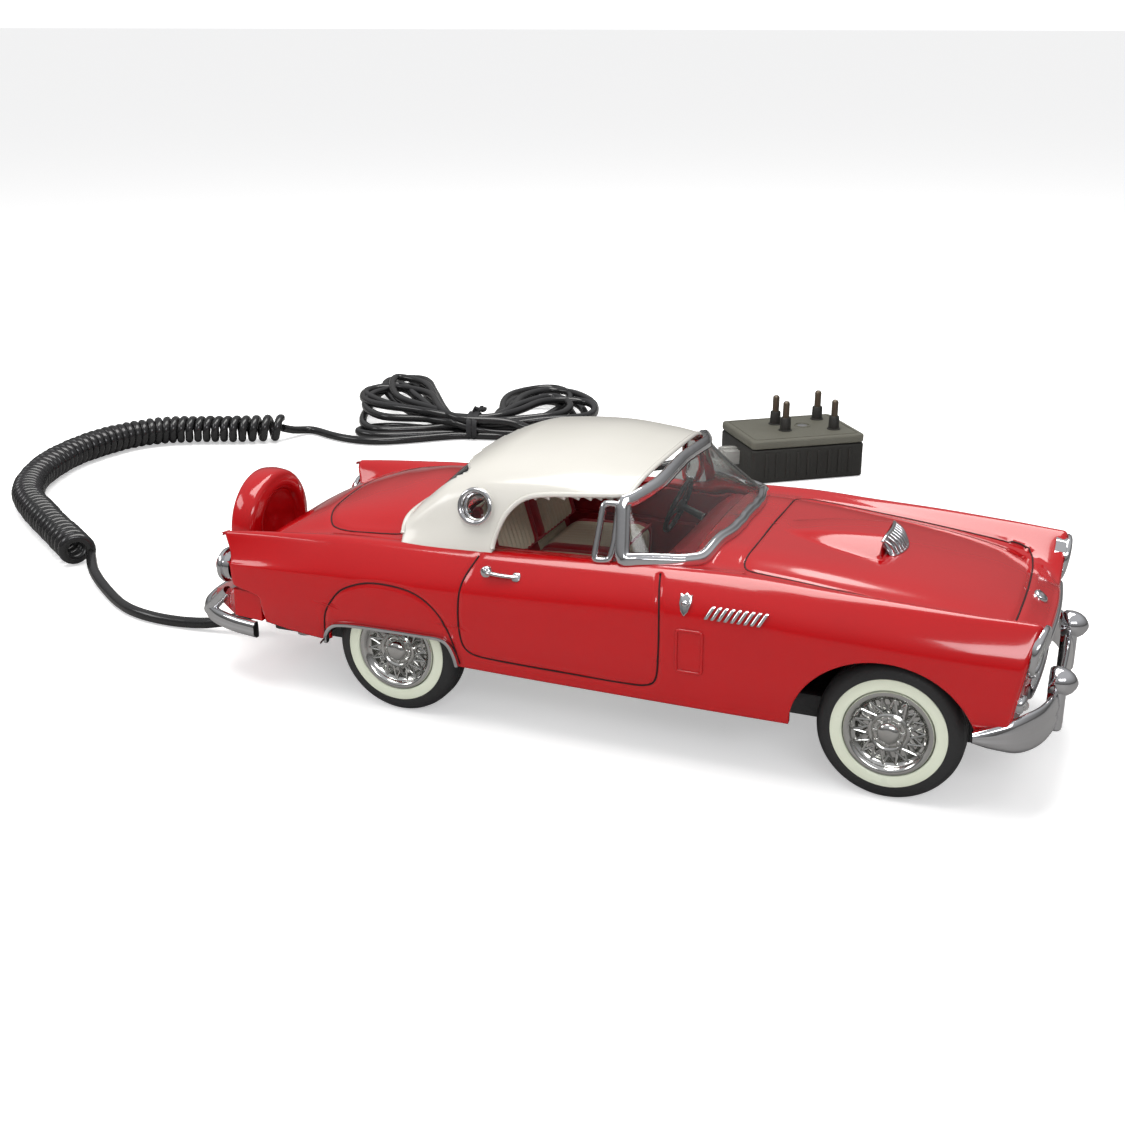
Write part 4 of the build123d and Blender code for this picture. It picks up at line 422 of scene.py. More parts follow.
class Skin:
    """A quad sheet with openings: cells are dropped and the cut edge is drawn onto the opening's outline."""

    def __init__(self, sheet):
        self.rows, self.cols = sheet.shape[:2]
        self.verts = sheet.reshape(-1, 3).copy()
        self.faces = np.array(sheet_faces(self.rows, self.cols))

    def cut(self, loop, axes, where):
        """Opens the sheet inside a loop drawn on two axes, only at vertices where the test holds."""
        loop = np.asarray(loop, float)
        flat = self.verts[:, axes]
        low, high = loop.min(0) - 3 * CELL, loop.max(0) + 3 * CELL
        near = where(self.verts) & ((flat > low) & (flat < high)).all(1)
        within = np.zeros(len(self.verts), bool)
        index = np.flatnonzero(near)
        within[index] = inside(flat[index], loop)
        hole = within[self.faces].sum(1) >= 3
        touched = np.unique(self.faces[hole])
        left = np.unique(self.faces[~hole])
        rim = np.intersect1d(touched, left)
        if len(rim):
            place, gap = nearest_on(flat[rim], loop)
            ok = gap < 2.2 * CELL
            rim, place = rim[ok], place[ok]
            self.verts[np.ix_(rim, axes)] = place
        self.faces = self.faces[~hole]
        stray = within.copy()
        stray[rim] = False
        self.faces = self.faces[~stray[self.faces].any(1)]

    def packed(self):
        """The vertices still in use, and the faces numbered to match."""
        used, faces = np.unique(self.faces, return_inverse=True)
        return self.verts[used], faces.reshape(self.faces.shape).tolist()

    def rims(self):
        """The open edges as ordered loops of points."""
        edges = {}
        for f in self.faces:
            for a, b in zip(f, np.roll(f, -1)):
                edges[(a, b)] = True
        ahead = {a: b for (a, b) in edges if (b, a) not in edges}
        loops = []
        while ahead:
            start, nxt = next(iter(ahead.items()))
            loop = [start]
            del ahead[start]
            while nxt != start and nxt in ahead:
                loop.append(nxt)
                nxt = ahead.pop(nxt)
            loops.append(self.verts[loop])
        return loops


# ------------------------------------------------------------------ materials
def material(name, base, rough=0.35, metal=0.0, coat=0.0, bump=0.0, grain=900.0, tint=None, patch=60.0,
             rough_swing=0.0, clear=0.0, ior=1.45, sheen=0.0):
    """A node material: base drifts towards tint in soft patches, roughness swings, and a fine grain bumps
    it."""
    mat = bpy.data.materials.new(name)
    mat.use_nodes = True
    nodes, links = mat.node_tree.nodes, mat.node_tree.links
    shader = nodes["Principled BSDF"]
    shader.inputs["Metallic"].default_value = metal
    shader.inputs["IOR"].default_value = ior
    shader.inputs["Coat Weight"].default_value = coat
    shader.inputs["Coat Roughness"].default_value = 0.04
    shader.inputs["Transmission Weight"].default_value = clear
    shader.inputs["Sheen Weight"].default_value = sheen
    place = nodes.new("ShaderNodeTexCoord")
    drift = nodes.new("ShaderNodeTexNoise")
    drift.inputs["Scale"].default_value = patch
    drift.inputs["Detail"].default_value = 5.0
    links.new(place.outputs["Object"], drift.inputs["Vector"])
    mix = nodes.new("ShaderNodeMix")
    mix.data_type = "RGBA"
    mix.inputs["A"].default_value = (*base, 1)
    mix.inputs["B"].default_value = (*(tint or tuple(0.82 * c for c in base)), 1)
    links.new(drift.outputs["Fac"], mix.inputs["Factor"])
    links.new(mix.outputs["Result"], shader.inputs["Base Color"])
    span = nodes.new("ShaderNodeMapRange")
    span.inputs["To Min"].default_value = rough * (1 - rough_swing)
    span.inputs["To Max"].default_value = rough * (1 + rough_swing)
    links.new(drift.outputs["Fac"], span.inputs["Value"])
    links.new(span.outputs["Result"], shader.inputs["Roughness"])
    if bump:
        fine = nodes.new("ShaderNodeTexNoise")
        fine.inputs["Scale"].default_value = grain
        fine.inputs["Detail"].default_value = 3.0
        links.new(place.outputs["Object"], fine.inputs["Vector"])
        relief = nodes.new("ShaderNodeBump")
        relief.inputs["Strength"].default_value = min(1.0, bump)
        relief.inputs["Distance"].default_value = 0.0004
        links.new(fine.outputs["Fac"], relief.inputs["Height"])
        links.new(relief.outputs["Normal"], shader.inputs["Normal"])
    return mat


RED = material("red_gloss", (0.42, 0.003, 0.005), 0.13, coat=0.6, bump=0.012, grain=260,
               tint=(0.37, 0.002, 0.004),
               rough_swing=0.4)
ROOF = material("roof_gloss", (0.60, 0.585, 0.545), 0.2, coat=0.35, bump=0.02, grain=420,
                tint=(0.56, 0.545, 0.50),
                rough_swing=0.3)
CHROME = material("bright_chrome", (0.82, 0.82, 0.83), 0.07, metal=1.0, bump=0.03, grain=500,
                  tint=(0.70, 0.70, 0.72), rough_swing=0.5)
WIRE_CHROME = material("wheel_chrome", (0.78, 0.78, 0.76), 0.13, metal=1.0, bump=0.05, grain=900,
                       tint=(0.60, 0.60, 0.58), rough_swing=0.4)
GLASS = material("clear_pane", (0.95, 0.97, 0.96), 0.02, clear=1.0, ior=1.35, bump=0.12, grain=55,
                 tint=(0.9, 0.94, 0.92))
LENS = material("lamp_lens", (0.90, 0.90, 0.88), 0.08, clear=0.75, ior=1.45, bump=0.5, grain=700)
TAIL_RED = material("tail_lens", (0.50, 0.006, 0.008), 0.08, clear=0.35, coat=0.5, bump=0.3, grain=900)
TYRE = material("tyre_black", (0.014, 0.014, 0.015), 0.42, bump=0.25, grain=1500, tint=(0.03, 0.03, 0.03),
                rough_swing=0.3)
WHITEWALL = material("whitewall_cream", (0.66, 0.70, 0.58), 0.3, coat=0.15, bump=0.08, grain=1200,
                     tint=(0.58, 0.61, 0.48), rough_swing=0.3)
CORD = material("cord_black", (0.008, 0.008, 0.009), 0.2, coat=0.35, bump=0.05, grain=700,
                tint=(0.016, 0.016, 0.016),
                rough_swing=0.4)
TIE = material("tie_paper", (0.02, 0.02, 0.022), 0.55, bump=0.6, grain=2500)
SEAT = material("seat_cream", (0.62, 0.55, 0.42), 0.5, bump=0.35, grain=2600, tint=(0.52, 0.45, 0.33),
                sheen=0.15,
                rough_swing=0.2)
SEAT_RED = material("seat_red", (0.36, 0.012, 0.02), 0.48, bump=0.35, grain=2600, sheen=0.1, rough_swing=0.2)
CABIN = material("cabin_red", (0.30, 0.010, 0.016), 0.4, bump=0.25, grain=1600, rough_swing=0.3)
DARK = material("satin_black", (0.018, 0.018, 0.019), 0.35, bump=0.15, grain=1300, tint=(0.03, 0.03, 0.03),
                rough_swing=0.3)
GAP = material("gap_shadow", (0.03, 0.001, 0.002), 0.7, bump=0.1, grain=1500)
PAN = material("pan_black", (0.02, 0.02, 0.021), 0.5, bump=0.6, grain=2600, tint=(0.032, 0.032, 0.032),
               rough_swing=0.2)
CASE = material("adapter_black", (0.014, 0.0135, 0.012), 0.42, bump=0.55, grain=2400,
                tint=(0.024, 0.023, 0.02),
                rough_swing=0.25)
OLIVE = material("adapter_olive", (0.085, 0.082, 0.062), 0.55, bump=0.7, grain=2600,
                 tint=(0.12, 0.118, 0.095), patch=45,
                 rough_swing=0.3)
PIN = material("pin_plate", (0.10, 0.085, 0.07), 0.35, metal=0.7, bump=0.15, grain=900,
               tint=(0.16, 0.12, 0.08),
               rough_swing=0.4)
STEEL = material("zinc_steel", (0.50, 0.50, 0.50), 0.32, metal=1.0, bump=0.3, grain=1600,
                 tint=(0.40, 0.40, 0.40),
                 rough_swing=0.4)
IVORY = material("ivory_plastic", (0.70, 0.66, 0.56), 0.33, coat=0.2, bump=0.12, grain=1500, rough_swing=0.3)
RUBBER = material("mat_grey", (0.24, 0.24, 0.25), 0.6, bump=0.4, grain=2200)
BOARD = material("board_green", (0.05, 0.16, 0.07), 0.4, bump=0.3, grain=700, tint=(0.03, 0.10, 0.05),
                 patch=240)
IRON = material("cast_iron", (0.16, 0.16, 0.165), 0.65, metal=0.6, bump=0.9, grain=900,
                tint=(0.10, 0.09, 0.085))
PLUG = material("plug_clear", (0.80, 0.80, 0.76), 0.12, clear=0.7, bump=0.1, grain=500)
PRINT = material("print_ink", (0.02, 0.02, 0.025), 0.5, bump=0.1, grain=1500)

SLOT_LOOKS = {"body_paint": RED, "roof_paint": ROOF, "glazing": GLASS, "chrome": CHROME, "cabin_trim": CABIN,
              "seat_vinyl": SEAT, "cabin_dark": DARK, "lamp_glass": LENS, "tail_red": TAIL_RED,
              "pan_black": PAN,
              "mat_rubber": RUBBER, "board": BOARD, "works_black": DARK, "hook_ivory": IVORY,
              "knob_black": DARK,
              "ballast_iron": IRON, "screw_steel": STEEL, "tyre": TYRE, "whitewall": WHITEWALL,
              "wheel_chrome": WIRE_CHROME, "cord_black": CORD, "tie_black": TIE, "plug_clear": PLUG,
              "adapter_black": CASE, "adapter_olive": OLIVE, "pin_metal": PIN, "key_ivory": IVORY}


# ------------------------------------------------------------------ body shell
def section_normals(sheet):
    """Unit outward normals in the (y, z) plane along each row."""
    d = np.gradient(sheet[..., 1:], axis=1)
    n = np.stack([-d[..., 1], d[..., 0]], -1)
    return n / np.maximum(np.linalg.norm(n, axis=2)[..., None], 1e-9)


def end_to_end(sheet_of, count, start_of, finish_of, rows, guess):
    """x for each grid point so every column runs from one end surface to the other."""
    low, high = np.full(count, float(guess[0])), np.full(count, float(guess[1]))
    for _ in range(12):
        ends = sheet_of(np.stack([low, high]))
        low = 0.5 * low + 0.5 * start_of(ends[0, :, 1], ends[0, :, 2])
        high = 0.5 * high + 0.5 * finish_of(ends[1, :, 1], ends[1, :, 2])
    t = np.linspace(0, 1, rows)[:, None]
    return low + (high - low) * t, low, high


def round_over(sheet, radius, steps, which):
    """Extra rows that turn the sheet's first or last row inwards round a small radius."""
    index, back = (0, 1) if which == "start" else (-1, -2)
    edge, normal = sheet[index], section_normals(sheet)[index]
    sign = np.sign(edge[:, 0] - sheet[back][:, 0])[:, None]
    rows = []
    for k in range(1, steps + 1):
        a = math.pi / 2 * k / steps
        row = edge.copy()
        row[:, 0:1] += sign * radius * math.sin(a)
        row[:, 1:] -= normal * radius * (1 - math.cos(a))
        rows.append(row)
    return np.array(rows[::-1] if which == "start" else rows)


EDGE_R = 1.3
body_sheet_of, body_columns = section_sheet(body_half, 20.0, CELL)
row_count = int(236 / CELL)
grid_x, _, _ = end_to_end(body_sheet_of, body_columns, lambda y, z: tail_x(z) + EDGE_R,
                          lambda y, z: nose_x(y, z) - EDGE_R, row_count, (-128, 105))
body_sheet = body_sheet_of(grid_x)


def smooth_max(a, b, k):
    """The larger of two heights, blended over a width k where they cross."""
    h = np.clip(0.5 + 0.5 * (a - b) / k, 0, 1)
    return b + (a - b) * h + k * h * (1 - h)


def add_scoop(sheet):
    """Raises the bonnet into the scoop, a low arch that widens forward and stops at its grille."""
    x, y = sheet[..., 0], np.abs(sheet[..., 1])
    width = scoop_y(x)
    arch = scoop_z(x) - 0.25 * np.clip(y / width, 0, 1) ** 2 - 6.0 * np.clip(y / width - 0.62, 0, 2) ** 1.6
    blend = np.clip((x - 29) / 4, 0, 1) * (x < SCOOP_X1)
    raised = smooth_max(sheet[..., 2], arch, 0.9)
    on = (y < width + 4) & (blend > 0)
    sheet[..., 2] = np.where(on, sheet[..., 2] + blend * np.maximum(raised - sheet[..., 2], 0), sheet[..., 2])


add_scoop(body_sheet)

DOOR_LINE = ((8.6, 54.8), (10.0, 48.0), (10.4, 42.7), (10.4, 34), (9.8, 27.2), (8.4, 24.4), (4.4, 23.1),
             (-18, 23.1),
             (-41.5, 23.5), (-46.2, 24.4), (-48.2, 26.6), (-49.0, 32), (-49.0, 39.2), (-48.0, 46.0),
             (-45.0, 52.4))
SKIRT_LINE = ((-95.2, 19.8), (-94.7, 23.6), (-93.4, 29.5), (-91.1, 33.5), (-88, 37.2), (-84.1, 39.5),
              (-78, 41.4),
              (-70.8, 41.7), (-64, 40.8), (-59, 38.4), (-55, 34.6), (-52.4, 29.7), (-50.9, 24.0),
              (-50.3, 19.8))
HOOD_LINE = ((28.4, 0), (28.4, 20), (28.2, 30), (29.5, 33.2), (32, 34.3), (60, 34.3), (80, 33.3), (94, 32.2),
             (97.6, 30.4),
             (98.9, 24), (99.6, 12), (99.8, 0))
DECK_LINE = ((-73.6, 33.0), (-76.0, 33.6), (-86, 33.4), (-94.0, 32.4), (-100.0, 29.4), (-103.6, 22),
             (-105.2, 10),
             (-105.6, 0))
VENT_RECESS = rounded_rect(19.05, 36.1, 7.1, 12.0, 0.9)


def groove(sheet, line, axes, test, width, depth):
    """Sinks the sheet along a line drawn on two axes."""
    points = smooth_path(np.column_stack([np.array(line), np.zeros(len(line))]), 1.0)[:, :2]
    flat = sheet[..., axes].reshape(-1, 2)
    low, high = points.min(0) - 3, points.max(0) + 3
    near = np.flatnonzero(((flat > low) & (flat < high)).all(1) & test(sheet.reshape(-1, 3)))
    gap = np.concatenate([nearest_on(flat[part], points, closed=False)[1]
                          for part in np.array_split(near, max(1, len(near) // 4000))])
    sink = depth * np.exp(-(gap / width) ** 2)
    normals = full_normals(sheet).reshape(-1, 3)
    target = sheet.reshape(-1, 3)
    target[near] -= normals[near] * sink[:, None]
    sheet[...] = target.reshape(sheet.shape)


def full_normals(sheet):
    """Unit normals of a grid of points, all pointing out of the car."""
    du, dv = np.gradient(sheet, axis=0), np.gradient(sheet, axis=1)
    n = np.cross(dv, du)
    n /= np.maximum(np.linalg.norm(n, axis=2)[..., None], 1e-12)
    centre = np.array([0, 0, 35.0])
    flip = np.einsum("ijk,ijk->ij", n, (sheet - centre) * (0, 1, 1)) < 0
    n[flip] *= -1
    return n


for side in (-1, 1):
    def flank(v, side=side):
        return (side * v[:, 1] > 40) & (v[:, 2] < 55)

    def upper(v, side=side):
        return (side * v[:, 1] >= -0.5) & (v[:, 2] > 44) & (np.abs(v[:, 1]) < 38)

    groove(body_sheet, DOOR_LINE, [0, 2], flank, 0.75, 0.4)
    groove(body_sheet, SKIRT_LINE, [0, 2], flank, 0.75, 0.4)
    groove(body_sheet, [(x, side * y) for x, y in HOOD_LINE], [0, 1], upper, 0.75, 0.4)
    groove(body_sheet, [(x, side * y) for x, y in DECK_LINE], [0, 1], upper, 0.75, 0.4)

nose_rows = round_over(body_sheet, EDGE_R, 4, "finish")
tail_rows = round_over(body_sheet, EDGE_R, 4, "start")
full_sheet = np.concatenate([tail_rows, body_sheet, nose_rows])
body_skin = Skin(full_sheet)

angle = np.linspace(0, 2 * math.pi, 181)[:-1]
arch_loop = np.column_stack([ARCH[0] + ARCH[2] * np.cos(angle), ARCH[1] + ARCH[3] * np.sin(angle)])
skirt_loop = np.array([(-95.6, 14), (-95.2, 16), (-94.4, 20), (-92.6, 23.8), (-89, 26.4), (-84, 27.3),
                       (-71.7, 27.6),
                       (-60, 27.8), (-54.2, 27.8), (-51.9, 25.5), (-50.6, 19.1), (-50.3, 14)])
cockpit_loop = rounded_rect((COCKPIT[0] + COCKPIT[1]) / 2, 0, COCKPIT[1] - COCKPIT[0], 2 * COCKPIT[2],
                            COCKPIT[3], 10)
body_skin.cut(cockpit_loop, [0, 1], lambda v: v[:, 2] > 48)
for side in (-1, 1):
    body_skin.cut(arch_loop, [0, 2], lambda v, s=side: s * v[:, 1] > 34)
    body_skin.cut(skirt_loop, [0, 2], lambda v, s=side: s * v[:, 1] > 34)


def end_cap(ring, x_of, holes):
    """The flat-ish panel that closes the body at one end, on the surface x_of."""
    loop = ring[:, 1:]
    keep = np.concatenate([[True], np.linalg.norm(np.diff(loop, axis=0), axis=1) > 0.15])
    loop = loop[keep]
    base = np.linspace(loop[-1], loop[0], int(np.linalg.norm(loop[0] - loop[-1]) / 1.2))[1:-1]
    pts, faces = filled(np.concatenate([loop, base]), holes, 1.1)
    return np.column_stack([x_of(pts[:, 0], pts[:, 1]), pts]), faces


def stadium(half_y, half_z, centre_z_at, steps=24):
    """A long oval as (y, z) points."""
    run = half_y - half_z
    out = []
    for k in range(steps + 1):
        a = -math.pi / 2 + math.pi * k / steps
        out.append((run + half_z * math.cos(a), centre_z_at + half_z * math.sin(a)))
    for k in range(steps + 1):
        a = math.pi / 2 + math.pi * k / steps
        out.append((-run + half_z * math.cos(a), centre_z_at + half_z * math.sin(a)))
    return np.array(out)


def ring_at(y, z, radius, steps=48):
    """A circle as (y, z) points."""
    a = np.arange(steps) * 2 * math.pi / steps
    return np.column_stack([y + radius * np.cos(a), z + radius * np.sin(a)])


grille_hole = stadium(GRILLE_Y, (GRILLE_Z1 - GRILLE_Z0) / 2, GRILLE_Z)
nose_cap = end_cap(full_sheet[-1], nose_x, [grille_hole, ring_at(LAMP_Y, LAMP_Z, LAMP_R),
                                            ring_at(-LAMP_Y, LAMP_Z, LAMP_R)])
tail_cap = end_cap(full_sheet[0], lambda y, z: tail_x(z), [ring_at(TAIL_Y, TAIL_Z, TAIL_R), ring_at(-TAIL_Y,
                                                                                                    TAIL_Z, TAIL_R)])
tail_cap = (tail_cap[0], [tuple(reversed(f)) for f in tail_cap[1]])
body_v, body_f = join(body_skin.packed(), nose_cap, tail_cap)
body = new_object("body_shell_skin", body_v, body_f, RED, "handset", "body_paint", ["body_shell"])


def tidy_mesh(obj, merge=0.00012, centre=None):
    """Joins points that meet and turns all faces the same way out; centre is for open shells."""
    bm = bmesh.new()
    bm.from_mesh(obj.data)
    bmesh.ops.remove_doubles(bm, verts=bm.verts, dist=merge)
    bmesh.ops.recalc_face_normals(bm, faces=bm.faces)
    if centre is not None:
        middle = Vector(centre) * MM
        outward = sum(f.normal.dot(f.calc_center_median() - middle) * f.calc_area() for f in bm.faces)
        if outward < 0:
            bmesh.ops.reverse_faces(bm, faces=bm.faces)
    bm.to_mesh(obj.data)
    bm.free()
    obj.data.polygons.foreach_set("use_smooth", np.ones(len(obj.data.polygons), bool))


def crisp(obj, degrees, merge=MERGE):
    """Cleans the mesh and keeps the edges that turn by more than the angle sharp."""
    tidy_mesh(obj, merge)
    obj.data.set_sharp_from_angle(angle=math.radians(degrees))


def thicken(obj, thickness):
    """Gives an open sheet a wall, inwards."""
    wall = obj.modifiers.new("wall", "SOLIDIFY")
    wall.thickness = thickness * MM
    wall.offset = -1.0
    wall.use_even_offset = False


tidy_mesh(body, centre=(0, 0, 30))
body.data.set_sharp_from_angle(angle=math.radians(50))
thicken(body, BODY_WALL)

body_tree = BVHTree.FromPolygons([tuple(v) for v in body_v], [tuple(f) for f in body_f])


def drop(x, y, lift=0.0):
    """The top of the body at (x, y)."""
    hit = body_tree.ray_cast(Vector((x, y, 120)), Vector((0, 0, -1)))
    return hit[0].z + lift if hit[0] else 50.0 + lift


def onto_side(x, z, side, lift=0.0):
    """The flank of the body at (x, z)."""
    hit = body_tree.ray_cast(Vector((x, side * 80, z)), Vector((0, -side, 0)))
    return hit[0].y + side * lift if hit[0] else side * (48 + lift)


gap_lines = []
for side in (-1, 1):
    for line in (DOOR_LINE, SKIRT_LINE):
        course = smooth_path([(x, 0, z) for x, z in line], 1.0)
        course[:, 1] = [onto_side(x, z, side, -0.02) for x, _, z in course]
        gap_lines.append(tube(course, 0.28, 6))
    for line in (HOOD_LINE, DECK_LINE):
        course = smooth_path([(x, side * y, 0) for x, y in line], 1.0)
        course[:, 2] = [drop(x, y, -0.02) for x, y, _ in course]
        gap_lines.append(tube(course, 0.28, 6))
new_object("panel_gaps", *join(*gap_lines), GAP, "handset", "body_paint")


# ------------------------------------------------------------------ hardtop
ROOF_SKIN = 1.7
REAR_GLASS = rounded_rect(0, 67.0, 62.0, 12.0, 3.5)
PORTHOLE_AT = (-47.6, 38.55, 65.4, math.radians(16.6))
SIDE_GLASS = ((16, 40), (16, 73.4), (-4.2, 72.4), (-18, 71.6), (-28, 70.6), (-33.6, 69.0), (-38.0, 65.0),
              (-40.6, 59.5), (-41.6, 54), (-42, 40))


def header_x(y):
    """Where the roof's front edge lies at y."""
    return -1.6 - 3.4 * (y / 40.0) ** 2


def heel_x(y, _):
    """Where the roof's rear edge lies at y."""
    return -74.0 + 3.8 * (y / 42.5) ** 2


roof_sheet_of, roof_columns = section_sheet(roof_half, -25.0, CELL)
roof_x, _, _ = end_to_end(roof_sheet_of, roof_columns, heel_x, lambda y, z: header_x(y) - 0.6, int(72 / CELL),
                          (-72, -3))
roof_sheet = roof_sheet_of(roof_x)
roof_sheet = np.concatenate([roof_sheet, round_over(roof_sheet, 0.6, 3, "finish")])
roof_skin = Skin(roof_sheet)
roof_tree = BVHTree.FromPolygons([tuple(v) for v in roof_skin.verts],
                                 [tuple(map(int, f)) for f in roof_skin.faces])
porthole_loop = np.column_stack([PORTHOLE_AT[0] + 4.4 * np.cos(angle), PORTHOLE_AT[2] + 4.4 * np.sin(angle)])
roof_skin.cut(REAR_GLASS, [1, 2], lambda v: v[:, 0] < -48)
side_loop = smooth_path(np.column_stack([np.array(SIDE_GLASS), np.zeros(10)])[2:], 0.8)[:, :2]
side_loop = np.concatenate([np.array(SIDE_GLASS[:2]), side_loop])
for side in (-1, 1):
    roof_skin.cut(side_loop, [0, 2], lambda v, s=side: s * v[:, 1] > 28)
    roof_skin.cut(porthole_loop, [0, 2], lambda v, s=side: s * v[:, 1] > 28)
roof = new_object("hardtop_skin", *roof_skin.packed(), ROOF, "handset", "roof_paint", ["hardtop"])
tidy_mesh(roof, centre=CABIN_MIDDLE)
thicken(roof, ROOF_SKIN)


def bead_runs(loops, keep_if, radius, sides=8):
    """Round beads along the stretches of open edges where the test holds."""
    pieces = []
    for loop in loops:
        if len(loop) < 12:
            continue
        good = np.array([keep_if(*q) for q in loop])
        if good.all():
            smooth = loop
            for _ in range(6):
                smooth = (np.roll(smooth, 1, 0) + 2 * smooth + np.roll(smooth, -1, 0)) / 4
            pieces.append(tube(smooth[::2], radius, sides, closed=True))
            continue
        start = int(np.flatnonzero(~good)[0])
        loop, good = np.roll(loop, -start, 0), np.roll(good, -start)
        run = []
        for q, ok in zip(loop, good):
            if ok:
                run.append(q)
            elif run:
                if len(run) > 8:
                    pieces.append(ease_tube(np.array(run), radius, sides))
                run = []
        if len(run) > 8:
            pieces.append(ease_tube(np.array(run), radius, sides))
    return pieces


def ease_tube(run, radius, sides):
    """A bead along a stretch of edge after its corners are eased."""
    for _ in range(6):
        run[1:-1] = (run[:-2] + 2 * run[1:-1] + run[2:]) / 4
    return tube(run[::2], radius, sides)


beads = bead_runs(roof_skin.rims(), lambda x, y, z: z > 54.5 and not (x < -48 and abs(y) < 31.5 and z > 60),
                  0.75)
if beads:
    new_object("hardtop_beads", *join(*beads), ROOF, "handset", "roof_paint")


# ------------------------------------------------------------------ windscreen
SCREEN_BASE = ((27.0, 0), (26.4, 12), (24.2, 24), (19.4, 34), (12.6, 39.4), (5.0, 41.7), (-2.5, 43.0))
SCREEN_TOP = ((1.6, 0), (1.4, 10), (0.8, 20), (-0.2, 28), (-1.2, 32.4), (-2.3, 34.9), (-4.4, 36.2))


def screen_curve(z, inset):
    """The windscreen's plan curve at height z, from the right pillar round to the left one."""
    t = (z - 56.0) / 19.0
    half = []
    for (bx, by), (tx, ty) in zip(SCREEN_BASE, SCREEN_TOP):
        y = by + (ty - by) * t
        half.append((bx + (tx - bx) * t - inset * (1 - y / 60), y * (1 - inset / 43.0), z))
    half = np.array(half)
    full = np.concatenate([half[:0:-1] * (1, -1, 1), half])
    return smooth_path(full, 1.0)


def screen_sheet(inset, low_lift, top_drop, rows):
    """Rows of points from the cowl up to the header along the leaning glass."""
    low, high = screen_curve(54.0, inset), screen_curve(78.0, inset)
    s = np.linspace(0, 1, 121)
    low, high = (np.stack([np.interp(s, np.linspace(0, 1, len(c)), c[:, k]) for k in range(3)], -1)
                 for c in (low, high))
    out = []
    for a, b in zip(low, high):
        foot, head = 0.0, 1.0
        for t in np.linspace(0, 0.5, 60):
            q = a + (b - a) * t
            if q[2] > drop(q[0], q[1]) + low_lift:
                foot = t
                break
        for t in np.linspace(0.6, 1.0, 80):
            q = a + (b - a) * t
            if q[2] > 75.4 - 3.0 * (q[1] / 37.0) ** 2 - top_drop:
                head = t
                break
        out.append([a + (b - a) * (foot + (head - foot) * t) for t in np.linspace(0, 1, rows)])
    return np.array(out)


glass_sheet = screen_sheet(0.9, 0.3, 0.4, 14)
inner_sheet = screen_sheet(1.8, 0.3, 0.4, 14)
rows, cols = glass_sheet.shape[:2]
front_faces = sheet_faces(rows, cols)
back_faces = [tuple(reversed(f)) for f in sheet_faces(rows, cols, start=rows * cols)]
edge = ([i * cols for i in range(rows)] + [(rows - 1) * cols + j for j in range(1, cols)]
        + [i * cols + cols - 1 for i in range(rows - 2, -1, -1)] + list(range(cols - 2, 0, -1)))
edge_faces = [(a, b, b + rows * cols, a + rows * cols) for a, b in zip(edge, edge[1:] + edge[:1])]
screen = new_object("windshield_glass", np.concatenate([glass_sheet.reshape(-1, 3),
                                                        inner_sheet.reshape(-1, 3)]),
                    front_faces + back_faces + edge_faces, GLASS, "handset", "glazing", ["windshield"])
tidy_mesh(screen, MERGE)

frame_sheet = screen_sheet(1.0, 0.9, 0.9, 14)
ring = np.concatenate([frame_sheet[:, 0], frame_sheet[-1, 1:], frame_sheet[-2::-1, -1],
                       frame_sheet[0, -2:0:-1]])
for _ in range(2):
    ring = (np.roll(ring, 1, 0) + 2 * ring + np.roll(ring, -1, 0)) / 4
bar = rounded_profile([(-1.1, -2.0), (0.35, -2.0), (0.75, -1.1), (1.15, -0.7), (1.15, 0.9), (0.7, 1.9),
                       (-1.1, 1.9)],
                      0.4, closed=True, steps=3)
ring = smooth_path(ring[::2], 1.0, closed=True)


def facing_sweep(p, outline, closed):
    """A bar whose width always faces away from the windscreen's middle axis."""
    t, _, _ = path_frames(p, closed)
    out = p - np.array([-12.0, 0, 50.0])
    out[:, 2] *= 0.35
    side = out - t * np.einsum("ij,ij->i", out, t)[:, None]
    side /= np.linalg.norm(side, axis=1)[:, None]
    top = np.cross(t, side)
    outline = np.asarray(outline)
    rings = p[:, None] + side[:, None] * outline[None, :, 0, None] + top[:, None] * outline[None, :, 1, None]
    n, m = len(p), len(outline)
    faces = [tuple(reversed(f)) for f in sheet_faces(n, m, closed, True)]
    return rings.reshape(-1, 3), faces


surround = new_object("windshield_surround", *facing_sweep(ring, bar, True), CHROME, "handset", "chrome",
                      ["windshield_frame"], sharp=40)
tidy_mesh(surround, MERGE)


# ------------------------------------------------------------------ wheels
TYRE_OUTLINE = ((35.6, 12.1), (34.6, 13.4), (34.2, 15.4), (34.5, 17.4), (35.6, 18.9), (36.8, 19.42),
                (37.3, 19.5),
                (38.1, 19.5), (38.25, 19.15), (38.55, 19.15), (38.7, 19.5), (39.2, 19.5), (39.35, 19.15),
                (39.65, 19.15), (39.8, 19.5), (40.7, 19.48), (40.85, 19.1), (41.15, 19.1), (41.3, 19.42),
                (42.2, 19.2), (43.2, 18.5), (43.9, 17.3), (44.25, 16.1), (44.3, 15.5), (44.1, 15.35),
                (43.9, 14.6),
                (43.9, 12.9), (43.6, 12.2), (42.6, 12.1))
BAND_OUTLINE = ((43.9, 15.36), (44.25, 15.3), (44.42, 14.9), (44.42, 13.0), (44.3, 12.5), (44.05, 12.2),
                (43.6, 12.15))
